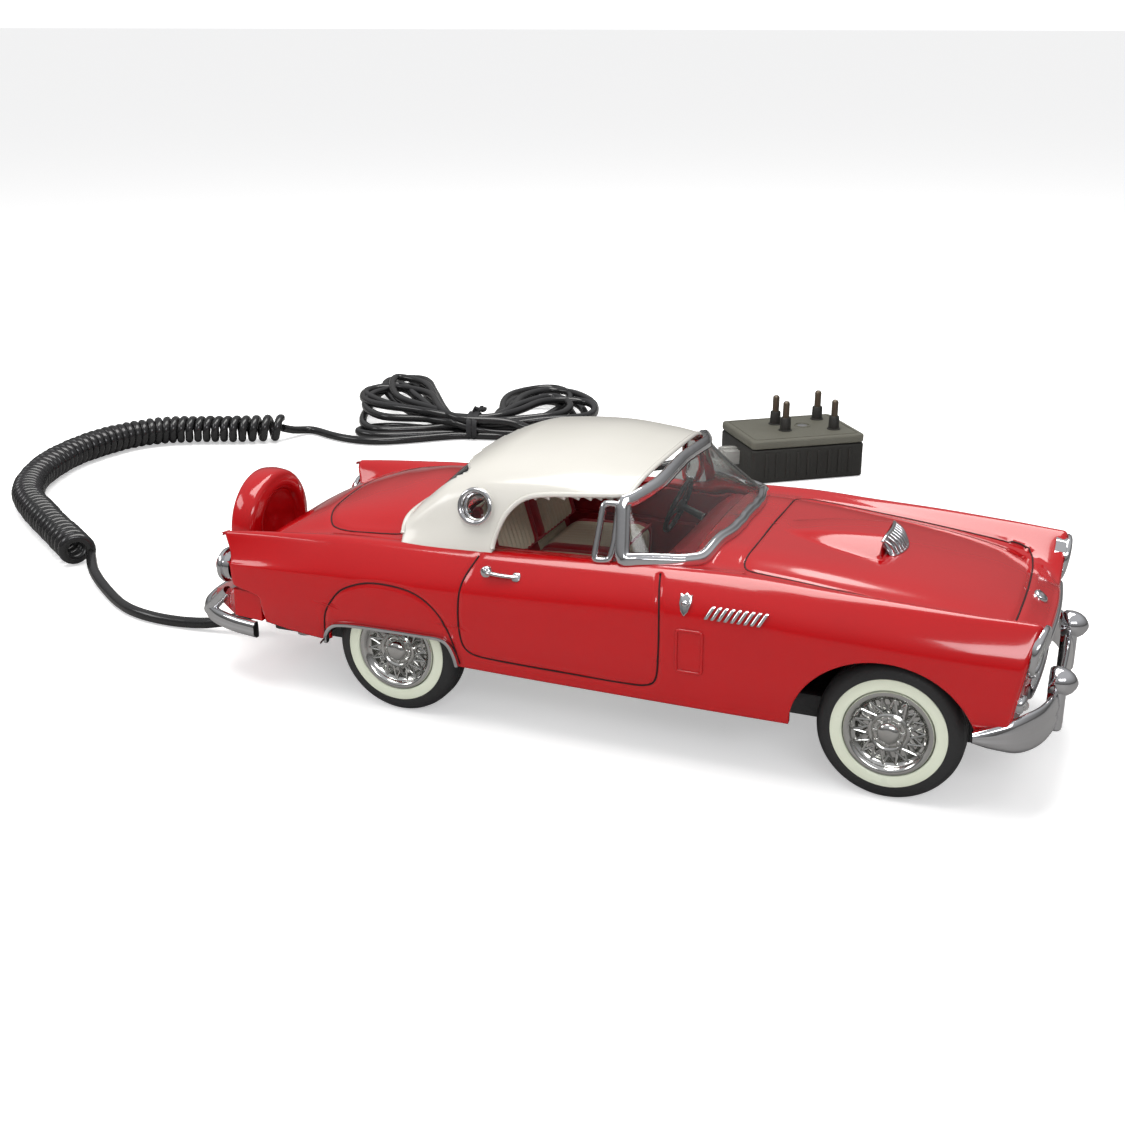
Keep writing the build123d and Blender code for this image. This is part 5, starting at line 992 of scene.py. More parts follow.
RIM_OUTLINE = ((35.4, 1.52), (35.4, 11.2), (36.2, 11.9), (42.8, 12.04), (43.9, 12.04), (44.4, 11.7),
               (44.5, 11.1),
               (44.2, 10.5), (43.4, 10.1), (42.8, 9.6), (42.5, 9.1), (41.2, 8.9), (40.6, 8.4), (40.5, 5.6),
               (40.5, 1.52))
HUB_OUTLINE = ((40.4, 5.4), (42.6, 5.6), (43.4, 5.45), (43.7, 5.0), (43.5, 4.5), (42.9, 4.1), (42.9, 3.4),
               (44.0, 3.1), (44.9, 2.4), (45.2, 1.4), (45.3, 0.05))


def wheel_set(x, name):
    """Both wheels of one axle: tyre, whitewall and a wire-spoke cover with a holed hub."""
    tyres, bands, covers = [], [], []
    for side in (-1, 1):
        origin, axis = (x, 0, TYRE_R), (0, side, 0)
        tyres.append(lathe(TYRE_OUTLINE, origin, axis, 128, True))
        bands.append(lathe(BAND_OUTLINE, origin, axis, 128))
        covers.append(lathe(RIM_OUTLINE, origin, axis, 128))
        covers.append(lathe(HUB_OUTLINE, origin, axis, 72))
        for k in range(36):
            a0 = 2 * math.pi * k / 36
            lean = 0.26 if k % 2 else -0.26
            ends = []
            for r, a, out in ((5.3, a0, 42.9 if k % 2 else 42.0), (9.3, a0 + lean, 42.9)):
                ends.append((x + r * math.cos(a), side * out, TYRE_R + r * math.sin(a)))
            covers.append(tube(np.array([ends[0], ends[1]]), 0.3, 6))
        for k in range(8):
            a = 2 * math.pi * k / 8
            at = (x + 3.75 * math.cos(a), side * 42.6, TYRE_R + 3.75 * math.sin(a))
            covers.append(lathe(((0, 0.62), (0.75, 0.62), (0.95, 0.42), (1.0, 0.02)), at, axis, 12))
    for piece, parts, look, slot, node in (
            ("tyres_treaded", tyres, TYRE, "tyre", "tyres"),
            ("whitewall_bands", bands, WHITEWALL, "whitewall", "whitewalls"),
            ("wire_covers", covers, WIRE_CHROME, "wheel_chrome", "wheel_covers")):
        crisp(new_object(f"{name}_{piece}", *join(*parts), look, f"{name}_wheels", slot, [f"{name}_{node}"]),
              38)


wheel_set(FRONT_X, "front")
wheel_set(REAR_X, "rear")


# ------------------------------------------------------------------ coiled cord and its lead
LEAD_PATH = ((-117.9, -8.0, 17.4), (-124, -8.0, 16.6), (-134, -8.6, 12.5), (-146, -10.4, 7.0),
             (-158, -12.4, 3.2),
             (-170, -13.8, 2.0), (-184, -13.6, 1.95), (-197, -9.6, 1.95), (-212, 0.0, 2.2), (-226, 10.4, 4.0),
             (-238, 18.4, 6.4))
COIL_PATH = ((-240.0, 19.8), (-250.5, 27.4), (-279.8, 48), (-307, 70), (-324, 98), (-331.5, 130),
             (-328.5, 158),
             (-318, 176), (-301, 186), (-283.5, 193.5), (-266.6, 203))
CORD_R, COIL_R, COIL_Z = 1.9, 6.6, 6.7


def coil_course():
    """The wound strand: tight in the middle, opening out into loose turns at both ends."""
    axis = smooth_path([(x, y, COIL_Z) for x, y in COIL_PATH], 0.25)
    run = np.concatenate([[0], np.cumsum(np.linalg.norm(np.diff(axis, axis=0), axis=1))])
    total = run[-1]
    tangent = path_frames(axis)[0]
    side = np.cross(tangent, (0, 0, 1.0))
    side /= np.linalg.norm(side, axis=1)[:, None]
    top = np.cross(side, tangent)
    ease = np.clip(np.minimum(run, total - run) / 26.0, 0, 1)
    pitch = 4.1 + 2.6 * (1 - ease) ** 2 + 0.25 * np.sin(run / 17.0)
    turn = np.concatenate([[0], np.cumsum(np.diff(run) / pitch[1:])]) * 2 * math.pi
    count = int(turn[-1] / (2 * math.pi) * (22))
    even = np.linspace(0, turn[-1], count)
    axis, side, top = (np.stack([np.interp(even, turn, a[:, k]) for k in range(3)], -1)
                       for a in (axis, side, top))
    reach = COIL_R - CORD_R
    wobble = 1 + 0.03 * np.sin(even / 9.3) + 0.02 * np.sin(even / 3.1)
    angle_in = even - math.pi / 2
    return (axis + side * (reach * wobble * np.cos(angle_in))[:, None]
            + top * (reach * np.minimum(wobble, 1.0) * np.sin(angle_in))[:, None])


coil = coil_course()
lead_points = [*LEAD_PATH[:-1]]
joined = np.concatenate([smooth_path([*lead_points, tuple(coil[4])], 1.6)[:-1], coil[4:]])
lead = tube(joined, CORD_R, 12)
pieces = [lead]
for k in range(5):
    at = (-119.7 - 1.5 * k, -8.0, 17.35 - 0.05 * k)
    pieces.append(lathe(((0, 0.1), (0, 3.3 - 0.22 * k), (0.9, 3.3 - 0.22 * k), (0.9, 0.1)), at, (-1, 0, 0),
                        24))
pieces.append(lathe(((0, 0.1), (0, 2.55), (8.6, 2.3), (8.6, 0.1)), (-117.8, -8.0, 17.4), (-1, 0, -0.03), 24))
cord = new_object("coil_cord_wound", *join(*pieces), CORD, "handset", "cord_black", ["coil_cord"])
crisp(cord, 60)


# ------------------------------------------------------------------ hank of line cord, its tie, and the plug
# end
TIE_AT, TIE_TURN, PASS_GAP = (-182.0, 244.0), math.radians(15.0), 4.0
PASS_SLOTS = ((-1, 0), (0, 0), (1, 0), (1, 1), (0, 1), (0, 2), (-1, 2))
RIGHT_LOOPS = (((-150, 250, 2), (-140, 262, 2), (-152, 272, 2)),
               ((-158, 262, 6.1), (-156, 290, 6.2), (-160, 318, 6.2), (-176, 333, 6.2), (-191, 312, 6.2),
                (-184, 282, 6.3), (-172, 263, 6.3), (-167, 254, 6.2)),
               ((-152, 250, 10), (-132, 272, 9), (-142, 298, 9), (-162, 288, 10.4), (-166, 262, 10.6)))
LEFT_LOOPS = (((-206, 232, 2), (-226, 222, 2), (-240, 226, 2), (-230, 240, 2), (-208, 243, 2)),
              ((-206, 262, 6), (-232, 300, 6), (-252, 326, 6), (-268, 316, 6), (-254, 288, 6),
               (-216, 250, 6)),
              ((-208, 244, 10), (-236, 256, 9), (-262, 276, 9), (-254, 290, 9), (-226, 280, 10.6),
               (-207, 254, 12.2), (-198, 242, 11.6)))
HANK_IN = ((-266.4, 203.4, 6.4), (-264.4, 210, 3.0), (-262, 222, 2.0), (-246, 214, 2.0), (-222, 212, 2.0),
           (-202, 226, 2.0))
HANK_OUT = ((-160, 246, 9), (-140, 238, 5), (-118, 226, 2.6), (-92, 213, 3.0), (-74, 212, 5.6),
            (-62, 221.1, 8.4),
            (-54.2, 227.0, 8.5))


def hank_course():
    """The strand from the coil through seven passes under the tie with loops either side, then to the
    plug."""
    ahead = np.array([math.cos(TIE_TURN), math.sin(TIE_TURN)])
    aside = np.array([-ahead[1], ahead[0]])
    passes = []
    for column, level in PASS_SLOTS:
        centre = np.array(TIE_AT) + aside * column * PASS_GAP
        z = 2.0 + level * PASS_GAP
        passes.append(((*(centre - 7 * ahead), z), (*(centre + 7 * ahead), z)))
    course = list(HANK_IN)
    for k in range(3):
        course += [*passes[2 * k], *RIGHT_LOOPS[k], passes[2 * k + 1][1], passes[2 * k + 1][0],
                   *LEFT_LOOPS[k]]
    course += [*passes[6], *HANK_OUT]
    p = smooth_path(course, 4.0)
    for _ in range(5):
        p[1:-1] = (p[:-2] + 2 * p[1:-1] + p[2:]) / 4
    return smooth_path(p, 1.6)


EXTRA_TURNS = (
    ((-174, 246, 5), (-150, 252, 6), (-134, 272, 7), (-140, 300, 7), (-158, 320, 7), (-174, 322, 7),
     (-180, 300, 8),
     (-172, 262, 8), (-176, 247, 7), (-190, 242, 6), (-206, 236, 4), (-226, 226, 4), (-240, 236, 4),
     (-254, 270, 4),
     (-262, 300, 4), (-250, 312, 5), (-228, 286, 6), (-206, 258, 7), (-190, 244, 6)),
    ((-174, 244, 9), (-156, 256, 9.5), (-146, 270, 9.5), (-150, 290, 9.5), (-164, 300, 9.5), (-172, 280, 9.5),
     (-176, 248, 9), (-190, 240, 8), (-206, 240, 8), (-228, 236, 8), (-246, 250, 8), (-256, 276, 8),
     (-248, 292, 8),
     (-226, 272, 8), (-192, 243, 9)),
    ((-174, 243, 4), (-154, 248, 4), (-140, 262, 4), (-146, 286, 4), (-166, 310, 4), (-184, 300, 4.5),
     (-178, 266, 5),
     (-176, 250, 6), (-192, 244, 9), (-206, 248, 11), (-232, 262, 11), (-252, 290, 10), (-258, 308, 10),
     (-240, 304, 9), (-214, 268, 9.5), (-192, 240, 8)),
    ((-174, 247, 8), (-152, 256, 8), (-138, 276, 5), (-150, 304, 5), (-170, 316, 5), (-186, 306, 5),
     (-182, 276, 6),
     (-177, 250, 8), (-192, 242, 10), (-210, 240, 12), (-236, 246, 11), (-254, 262, 9), (-262, 284, 8),
     (-252, 300, 8),
     (-230, 276, 9), (-194, 246, 7)))
strands = [tube(hank_course(), CORD_R, 12)]
strands += [tube(smooth_path(turn, 1.8, closed=True), CORD_R, 12, closed=True) for turn in EXTRA_TURNS]
new_object("line_cord_strands", *join(*strands), CORD, "handset", "cord_black", ["line_cord"])


def tie_band():
    """A flat paper-covered wire wound twice round the waist of the hank, its two ends twisted together."""
    ahead = np.array([math.cos(TIE_TURN), math.sin(TIE_TURN), 0])
    aside = np.array([-ahead[1], ahead[0], 0])
    centre = np.array([*TIE_AT, 6.0])
    pieces = []
    for shift in (-1.4, 1.3):
        loop = []
        for k in range(48):
            a = 2 * math.pi * k / 48
            u, v = math.cos(a), math.sin(a)
            w = 7.0 * math.copysign(abs(u) ** 0.8, u)
            h = 6.3 * math.copysign(abs(v) ** 0.8, v)
            loop.append(centre + aside * w + np.array([0, 0, max(h, -5.6)]) + ahead * (shift + 0.35 * u))
        pieces.append(sweep(np.array(loop), [(-0.28, -1.2), (0.28, -1.2), (0.34, 0), (0.28, 1.2),
                                             (-0.28, 1.2)],
                            closed=True))
    for sign in (-1, 1):
        k = np.linspace(0, 1, 40)
        tail = (centre + np.array([0, 0, 6.6]) + aside * (2.0 + 9.5 * k)[:, None] + ahead * (3.0 * k)[:, None]
                + np.stack([0 * k, 0 * k, 1.0 - 2.0 * k], -1))
        spin = 2 * math.pi * 2.2 * k
        tail += sign * 0.8 * (ahead * np.cos(spin)[:, None] + np.array([0, 0, 1.0]) * np.sin(spin)[:, None])
        pieces.append(sweep(tail, [(-0.25, -0.9), (0.25, -0.9), (0.25, 0.9), (-0.25, 0.9)]))
    return join(*pieces)


tie = new_object("cord_tie_twisted", *tie_band(), TIE, "handset", "tie_black", ["cord_tie"])
crisp(tie, 40)


# ------------------------------------------------------------------ bumpers
BUMPER_FACE = np.array([(-1.25, 0.04), (-0.6, 0.0), (0.1, 0.02), (0.75, 0.14), (1.12, 0.34), (0.95, 0.5),
                        (1.12, 0.66), (0.75, 0.86), (0.1, 0.98), (-0.6, 1.0), (-1.25, 0.96), (-1.3, 0.5)])


def bumper_bar(plan, low_of, high_of, inset):
    """A pressed bar along a mirrored plan curve, its height set by two rails along x."""
    full = np.array([(x, -y, 0.0) for x, y in reversed(plan[1:])] + [(x, y, 0.0) for x, y in plan])
    p = smooth_path(full, 1.2)
    t = np.gradient(p, axis=0)
    t /= np.linalg.norm(t, axis=1)[:, None]
    out = np.stack([t[:, 1], -t[:, 0], 0 * t[:, 0]], -1)
    face = rounded_profile(BUMPER_FACE * (1, 10), 0.35, closed=True, steps=2) / (1, 10)
    low, high = low_of(np.abs(p[:, 0])), high_of(np.abs(p[:, 0]))
    rings = p[:, None] + out[:, None] * (face[None, :, 0, None] - inset)
    rings[..., 2] = low[:, None] + (high - low)[:, None] * face[None, :, 1]
    n, m = len(p), len(face)
    faces = sheet_faces(n, m, False, True) + [tuple(range(m)), tuple(reversed(range((n - 1) * m, n * m)))]
    return rings.reshape(-1, 3), faces


front_plan = [(113.4, 0), (113.2, 14), (112.3, 26), (109.6, 36), (104.6, 43.2), (98.0, 47.0), (93.6, 48.6)]
front_low = rail((93, 22.6), (100, 20.2), (107, 18.6), (114, 18.4))
front_high = rail((93.4, 25.4), (100, 27.4), (108, 29.6), (114, 29.8))
pieces = [bumper_bar(front_plan, front_low, front_high, 1.2)]
for side in (-1, 1):
    guard = ((-3.0, 0.02), (-3.0, 3.3), (-2.2, 3.9), (-0.4, 4.0), (0.8, 3.8), (2.0, 3.35), (3.1, 2.55),
             (3.9, 1.5),
             (4.3, 0.6), (4.4, 0.02))
    pieces.append(lathe(guard, (111.9, side * 21.0, 31.4), (1, 0, 0), 40))
    post = rounded_rect(111.2, side * 21.0, 4.6, 6.6, 1.6)
    pieces.append(block(post, 18.2, 32.6, 0.8))
bumper = new_object("front_bumper_pressed", *join(*pieces), CHROME, "handset", "chrome", ["front_bumper"])
crisp(bumper, 42)

rear_plan = [(-149.4, 0), (-149.2, 14), (-148.3, 26), (-145.6, 34.2), (-139.5, 40.4), (-130.0, 44.6),
             (-119.6, 46.6)]
flat_low, flat_high = rail((0, 16.6), (200, 16.6)), rail((0, 21.9), (200, 21.9))
bar_v, bar_f = bumper_bar([(-x, y) for x, y in rear_plan], flat_low, flat_high, 1.2)
pieces = [(bar_v * (-1, 1, 1), [tuple(reversed(f)) for f in bar_f])]
for side in (-1, 1):
    start, way = np.array([-142.0, side * 36.6, 19.4]), np.array([13.6, side * 6.2, 12.2])
    way /= np.linalg.norm(way)
    arm = np.array([start + way * s for s in np.linspace(0, 15.5, 14)])
    pieces.append(tube(arm, 1.7, 14, scale=np.linspace(1.15, 0.85, 14)))
rear = new_object("rear_bumper_pressed", *join(*pieces), CHROME, "handset", "chrome", ["rear_bumper"])
crisp(rear, 42)


# ------------------------------------------------------------------ grille and lamps
def nose_point(y, z, lift=0.0):
    """A point on the nose surface and the way out of it there."""
    n = np.array([1.0, 2 * NOSE_BOW * y / math.cos(NOSE_RAKE), -math.tan(NOSE_RAKE)])
    n /= np.linalg.norm(n)
    return np.array([float(nose_x(y, z)), y, z]) + n * lift, n


oval = stadium(GRILLE_Y + 0.1, (GRILLE_Z1 - GRILLE_Z0) / 2 + 0.1, GRILLE_Z)
oval = smooth_path(np.column_stack([0 * oval[:, 0], oval]), 0.8, closed=True)[:, 1:]
ring = np.array([nose_point(y, z, 0.35)[0] for y, z in oval])
lip = rounded_profile([(-1.15, -0.75), (1.15, -0.75), (1.15, 0.3), (0.5, 0.85), (-0.5, 0.85), (-1.15, 0.3)],
                      0.35,
                      closed=True, steps=2)


def nose_sweep(p, outline):
    """A bar along a closed path on the nose, its outline given as (across, out of the nose)."""
    t = np.roll(p, -1, 0) - np.roll(p, 1, 0)
    t /= np.linalg.norm(t, axis=1)[:, None]
    out = np.array([nose_point(q[1], q[2])[1] for q in p])
    side = np.cross(t, out)
    side /= np.linalg.norm(side, axis=1)[:, None]
    outline = np.asarray(outline)
    rings = p[:, None] + side[:, None] * outline[None, :, 0, None] + out[:, None] * outline[None, :, 1, None]
    return rings.reshape(-1, 3), sheet_faces(len(p), len(outline), True, True)


pieces = [nose_sweep(ring, lip)]
slat = rounded_profile([(-0.36, -1.5), (0.36, -1.5), (0.36, 1.2), (0, 1.5), (-0.36, 1.2)], 0.2, closed=True,
                       steps=2)
half_z = (GRILLE_Z1 - GRILLE_Z0) / 2
for k in range(1, 18):
    y = -29.2 + 58.4 * k / 18
    reach = half_z if abs(y) < GRILLE_Y - half_z else math.sqrt(max(half_z ** 2 - (abs(y) - GRILLE_Y + half_z) ** 2, 1))
    line = np.array([nose_point(y, GRILLE_Z + reach * s, -2.3)[0] for s in np.linspace(-1, 1, 10)])
    pieces.append(sweep(line, slat, up=(0, 1, 0)))
for k in range(1, 4):
    z = GRILLE_Z - half_z + 2 * half_z * k / 4
    reach = GRILLE_Y - half_z + math.sqrt(half_z ** 2 - (z - GRILLE_Z) ** 2)
    line = np.array([nose_point(reach * s, z, -2.3)[0] for s in np.linspace(-1, 1, 48)])
    pieces.append(sweep(line, slat, up=(0, 0, 1)))
grille = new_object("grille_egg_crate", *join(*pieces), CHROME, "handset", "chrome", ["grille"])
crisp(grille, 40)
back_v, back_f = filled(stadium(GRILLE_Y + 0.8, half_z + 0.8, GRILLE_Z), (), 2.0)
back = np.array([nose_point(y, z, -5.2)[0] for y, z in back_v])
thicken(new_object("grille_backing", back, back_f, DARK, "handset", "chrome"), 0.8)

bezels, lenses = [], []
for side in (-1, 1):
    at, n = nose_point(side * LAMP_Y, LAMP_Z)
    bezels.append(lathe(((-3.0, 6.0), (0.1, 6.05), (0.15, 7.0), (0.75, 7.05), (1.35, 6.75), (1.6, 6.2),
                         (1.3, 5.7),
                         (0.7, 5.35), (-1.2, 5.2), (-2.2, 5.15)), at, n, 72))
    dome = [(-1.8, 5.2), (0.1, 5.15)] + [(0.1 + 1.15 * math.cos(a), 5.15 * math.sin(a))
                                         for a in np.linspace(math.pi / 2, 0.02, 12)][1:]
    lenses.append(lathe(dome, at, n, 72))
    bezels.append(lathe(((-2.6, 5.1), (-2.4, 3.4), (-3.2, 1.6), (-3.6, 0.05)), at, n, 48))
    for k in range(-4, 5):
        y = 1.1 * k
        reach = math.sqrt(max(5.0 ** 2 - y * y, 0.2))
        up = np.cross(n, (0, 1, 0))
        across = np.cross(up, n)
        line = np.array([at + across * y + up * (reach * s) + n * (0.1 + 1.15 * math.sqrt(
            max(0.0, 1 - (y * y + (reach * s) ** 2) / 5.15 ** 2))) for s in np.linspace(-0.97, 0.97, 12)])
        lenses.append(tube(line, 0.28, 6))
    at, n = nose_point(side * 41.6, 32.6)
    bezels.append(lathe(((-0.4, 2.5), (0.6, 2.6), (1.3, 2.35), (1.6, 1.9), (1.1, 1.55), (-0.2, 1.5)), at, n,
                        40))
    lenses.append(lathe(((-0.2, 1.5), (1.2, 1.45), (2.1, 1.1), (2.5, 0.6), (2.6, 0.02)), at, n, 32))
    at = np.array([-126.0, side * TAIL_Y, TAIL_Z])
    bezels.append(lathe(((1.2, 4.55), (3.4, 4.6), (3.5, 5.3), (4.3, 5.35), (5.0, 5.0), (5.15, 4.5),
                         (4.8, 4.0),
                         (3.0, 3.8), (0.2, 3.78)), at, (-1, 0, 0), 64))
bezel = new_object("lamp_bezel_rings", *join(*bezels), CHROME, "handset", "chrome", ["lamp_bezels"])
lens = new_object("front_lamp_fluted", *join(*lenses), LENS, "handset", "lamp_glass", ["front_lamp_lenses"])
tails = []
for side in (-1, 1):
    ripple = [(0.0, 3.7), (4.6, 3.7)]
    for k, a in enumerate(np.linspace(math.pi / 2, 0.03, 22)[1:]):
        ripple.append((4.6 + 3.0 * math.cos(a) + (0.12 if k % 2 else 0), 3.7 * math.sin(a)))
    tails.append(lathe(ripple, (-126.0, side * TAIL_Y, TAIL_Z), (-1, 0, 0), 56))
tail = new_object("tail_lamp_domes", *join(*tails), TAIL_RED, "handset", "tail_red", ["tail_lamp_lenses"])
for obj in (bezel, lens, tail):
    crisp(obj, 45)


# ------------------------------------------------------------------ spare-wheel cover
kit_profile = rounded_profile([(-9.4, 0.02), (-9.6, 3.6), (-9.6, 11.2), (-10.0, 13.2), (-9.2, 17.2),
                               (-5.0, 17.8),
                               (-0.9, 17.2), (0.0, 13.4), (-0.4, 11.6), (-2.2, 10.8), (-2.4, 4.5),
                               (-2.6, 0.02)],
                              1.6, steps=5)
bracket = block(rounded_rect(-134.6, 0, 9.0, 10.0, 1.5), 26.0, 30.6, 0.8)
kit = new_object("spare_wheel_cover_pressed",
                 *join(lathe(kit_profile, (-136.5, 0, 37.7), (1, 0, 0), 120), bracket), RED,
                 "handset", "body_paint", ["spare_wheel_cover"])
crisp(kit, 50)


# ------------------------------------------------------------------ seat
SEAT_HALF, SEAT_END_R = 30.4, 1.6
INSERT_Y0, INSERT_Y1, FLUTE_PITCH = 4.0, 26.5, 2.5


def fluted(profile, half_y, swell, name):
    """An upholstered block: a rounded side profile run across the car, crowned, with sewn flutes."""
    outline = rounded_profile(profile, 2.2, closed=True, steps=5)
    outline = smooth_path(np.column_stack([outline[:, 0], 0 * outline[:, 0], outline[:, 1]]), 0.9,
                          closed=True)
    middle = outline.mean(0)
    quarter = np.linspace(0, math.pi / 2, 6)
    ys = np.concatenate([-half_y + SEAT_END_R * (1 - np.cos(quarter)),
                         np.arange(-half_y + 1.9, half_y - 1.9, 0.45),
                         half_y - SEAT_END_R * (1 - np.sin(quarter))])
    rings = []
    for y in ys:
        edge = np.clip((half_y - abs(y)) / SEAT_END_R, 0, 1)
        shrink = 1 - 0.10 * (1 - math.sqrt(max(0.0, 1 - (1 - edge) ** 2)))
        insert = INSERT_Y0 < abs(y) < INSERT_Y1
        crown = swell * (1 - (abs(abs(y) - 15.3) / 15.3) ** 4)
        seam = 0.55 * math.exp(-((abs(y) - INSERT_Y0) / 0.5) ** 2)
        seam += 0.55 * math.exp(-((abs(y) - INSERT_Y1) / 0.5) ** 2)
        seam += 0.9 * math.exp(-(y / 0.7) ** 2)
        flute = 0.42 * (abs(math.sin(math.pi * (abs(y) - INSERT_Y0) / FLUTE_PITCH)) - 0.6) if insert else 0.0
        away = outline - middle
        length = np.linalg.norm(away, axis=1)[:, None]
        ring = middle + away * shrink + away / length * (crown + flute - seam)
        ring[:, 1] = y
        rings.append(ring)
    rings = np.array(rings)
    n, m = rings.shape[:2]
    faces = [tuple(reversed(f)) for f in sheet_faces(n, m, False, True)]
    tags = [0 if INSERT_Y0 < abs(ys[f[0] // m]) < INSERT_Y1 else 1 for f in faces]
    faces += [tuple(range(m)), tuple(reversed(range((n - 1) * m, n * m)))]
    tags += [1, 1]
    obj = new_object(name, rings.reshape(-1, 3), faces, SEAT, "handset", "seat_vinyl")
    obj.data.materials.append(SEAT_RED)
    obj.data.polygons.foreach_set("material_index", np.array(tags, int))
    tidy_mesh(obj, MERGE)
    return obj


cushion = fluted([(-44.0, 29.4), (-44.5, 40.0), (-42.0, 41.6), (-22.0, 42.6), (-18.6, 41.0), (-18.6, 29.4)],
                 SEAT_HALF, 0.5, "seat_cushion_fluted")
fluted([(-43.9, 33.0), (-47.5, 42.0), (-44.2, 44.0), (-49.2, 60.0), (-51.2, 61.6), (-54.6, 60.8),
        (-55.0, 44.0), (-53.0, 42.4), (-52.6, 33.0)], SEAT_HALF, 0.4, "seat_backrest_fluted")
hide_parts("seat")
piping = []
for x, z in ((-44.6, 43.9), (-50.0, 61.5), (-19.2, 41.9)):
    piping.append(tube(np.array([(x, y, z) for y in np.linspace(-29.6, 29.6, 40)]), 0.45, 8))
new_object("seat_piping", *join(*piping), SEAT_RED, "handset", "seat_vinyl")


# ------------------------------------------------------------------ steering wheel and dash
WHEEL_AT, WHEEL_TILT = np.array([-5.6, 17.5, 54.0]), math.radians(20.0)
wheel_axis = np.array([-math.cos(WHEEL_TILT), 0, math.sin(WHEEL_TILT)])
wheel_u = np.array([0, 1.0, 0])
wheel_v = np.cross(wheel_axis, wheel_u)
a = np.linspace(0, 2 * math.pi, 97)[:-1]
rim = WHEEL_AT + 8.6 * (np.cos(a)[:, None] * wheel_u + np.sin(a)[:, None] * wheel_v)
pieces = [tube(rim, 0.72, 12, closed=True, scale=1 + 0.08 * np.cos(24 * a))]
for turn in (0.15, math.pi - 0.15, 1.5 * math.pi):
    way = math.cos(turn) * wheel_u + math.sin(turn) * wheel_v
    spoke = np.array([WHEEL_AT + way * r - wheel_axis * 0.8 * (1 - r / 8.6) for r in np.linspace(1.5, 8.4,
                                                                                                 10)])
    pieces.append(sweep(spoke, circle(0.75, 10, 0.5), up=wheel_axis))
pieces.append(lathe(((-1.6, 2.3), (-0.6, 2.4), (0.1, 1.9), (0.5, 1.0), (0.6, 0.02)), WHEEL_AT, wheel_axis,
                    32))
pieces.append(lathe(((-8.0, 0.02), (-8.0, 1.25), (-1.4, 1.1), (-1.4, 0.02)), WHEEL_AT, wheel_axis, 24))
wheel = new_object("steering_wheel_rim", *join(*pieces), DARK, "handset", "cabin_dark", ["steering_wheel"])
crisp(wheel, 50)
dials = []
for y, radius in ((17.5, 3.0), (10.6, 1.7), (24.4, 1.7), (0.0, 1.5), (-8.0, 1.2), (-12.0, 1.2)):
    dials.append(lathe(((-0.2, radius + 0.5), (0.5, radius + 0.5), (0.7, radius), (0.25, radius - 0.35),
                        (0.2, 0.02)),
                       (2.7, y, 48.9), (-1, 0, 0), 32))
new_object("dash_dials", *join(*dials), CHROME, "handset", "cabin_trim")


# ------------------------------------------------------------------ wall adapter
ax, ay, turn_a, along, across, tall = ADAPTER


def adapter_place(v):
    """Turns and moves points from the adapter's own axes to the table."""
    v = np.asarray(v, float)
    c, s = math.cos(turn_a), math.sin(turn_a)
    return np.column_stack([ax + v[:, 0] * c - v[:, 1] * s, ay + v[:, 0] * s + v[:, 1] * c, v[:, 2]])


outline = rounded_rect(0, 0, along, across, 2.2)
case = block(outline, 0.0, 15.35, 0.9, adapter_place)
rib_pieces = [case]
for u in np.linspace(-20, 20, 9):
    for side in (-1, 1):
        rib = rounded_rect(u, side * (across / 2 - 0.15), 1.6, 1.2, 0.3, 2)
        rib_pieces.append(block(rib, 2.2, 13.4, 0.4, adapter_place, 2))
case_obj = new_object("adapter_case_ribbed", *join(*rib_pieces), CASE, "adapter", "adapter_black",
                      ["adapter_case"])
cover = block(outline, 15.6, tall, 1.1, adapter_place)
inset_rim = rounded_rect(0, 0, along - 5.0, across - 5.0, 1.6)
rim_path = adapter_place(np.column_stack([inset_rim, np.full(len(inset_rim), tall + 0.02)]))
rim_path = smooth_path(rim_path, 1.5, closed=True)
screw_at = adapter_place(np.array([[5.7, 1.8, tall]]))[0]
well = lathe(((0.02, 3.9), (0.35, 3.7), (0.4, 3.2), (-0.2, 3.0), (-0.3, 0.02)), screw_at, (0, 0, 1), 40)
cover_obj = new_object("adapter_cover_lid", *join(cover, tube(rim_path, 0.3, 6, closed=True), well), OLIVE,
                       "adapter",
                       "adapter_olive", ["adapter_cover"])
head = lathe(((-0.2, 2.3), (0.05, 2.3), (0.2, 1.9), (0.25, 0.02)), screw_at, (0, 0, 1), 28)
screw_obj = new_object("adapter_screw", *head, STEEL, "adapter", "screw_steel")
sleeves, prongs = [], []
for u, v in ((-5.2, 7.7), (-5.2, -4.1), (17.0, 11.0), (17.0, -7.4)):
    foot = adapter_place(np.array([[u, v, tall]]))[0]
    sleeves.append(lathe(((-0.3, 3.0), (0.3, 3.0), (0.5, 2.45), (5.6, 2.3), (6.0, 2.0), (6.0, 1.45)), foot,
                         (0, 0, 1), 28))
    prongs.append(lathe(((4.0, 1.5), (12.3, 1.5), (13.0, 1.25), (13.4, 0.7), (13.5, 0.02)), foot, (0, 0, 1),
                        24))
pins_obj = new_object("adapter_prongs", *join(*prongs), PIN, "adapter", "pin_metal", ["adapter_pins"])
sleeve_obj = new_object("adapter_sleeves", *join(*sleeves), CASE, "adapter", "adapter_black")
for obj in (case_obj, cover_obj, screw_obj, pins_obj, sleeve_obj):
    crisp(obj, 40)

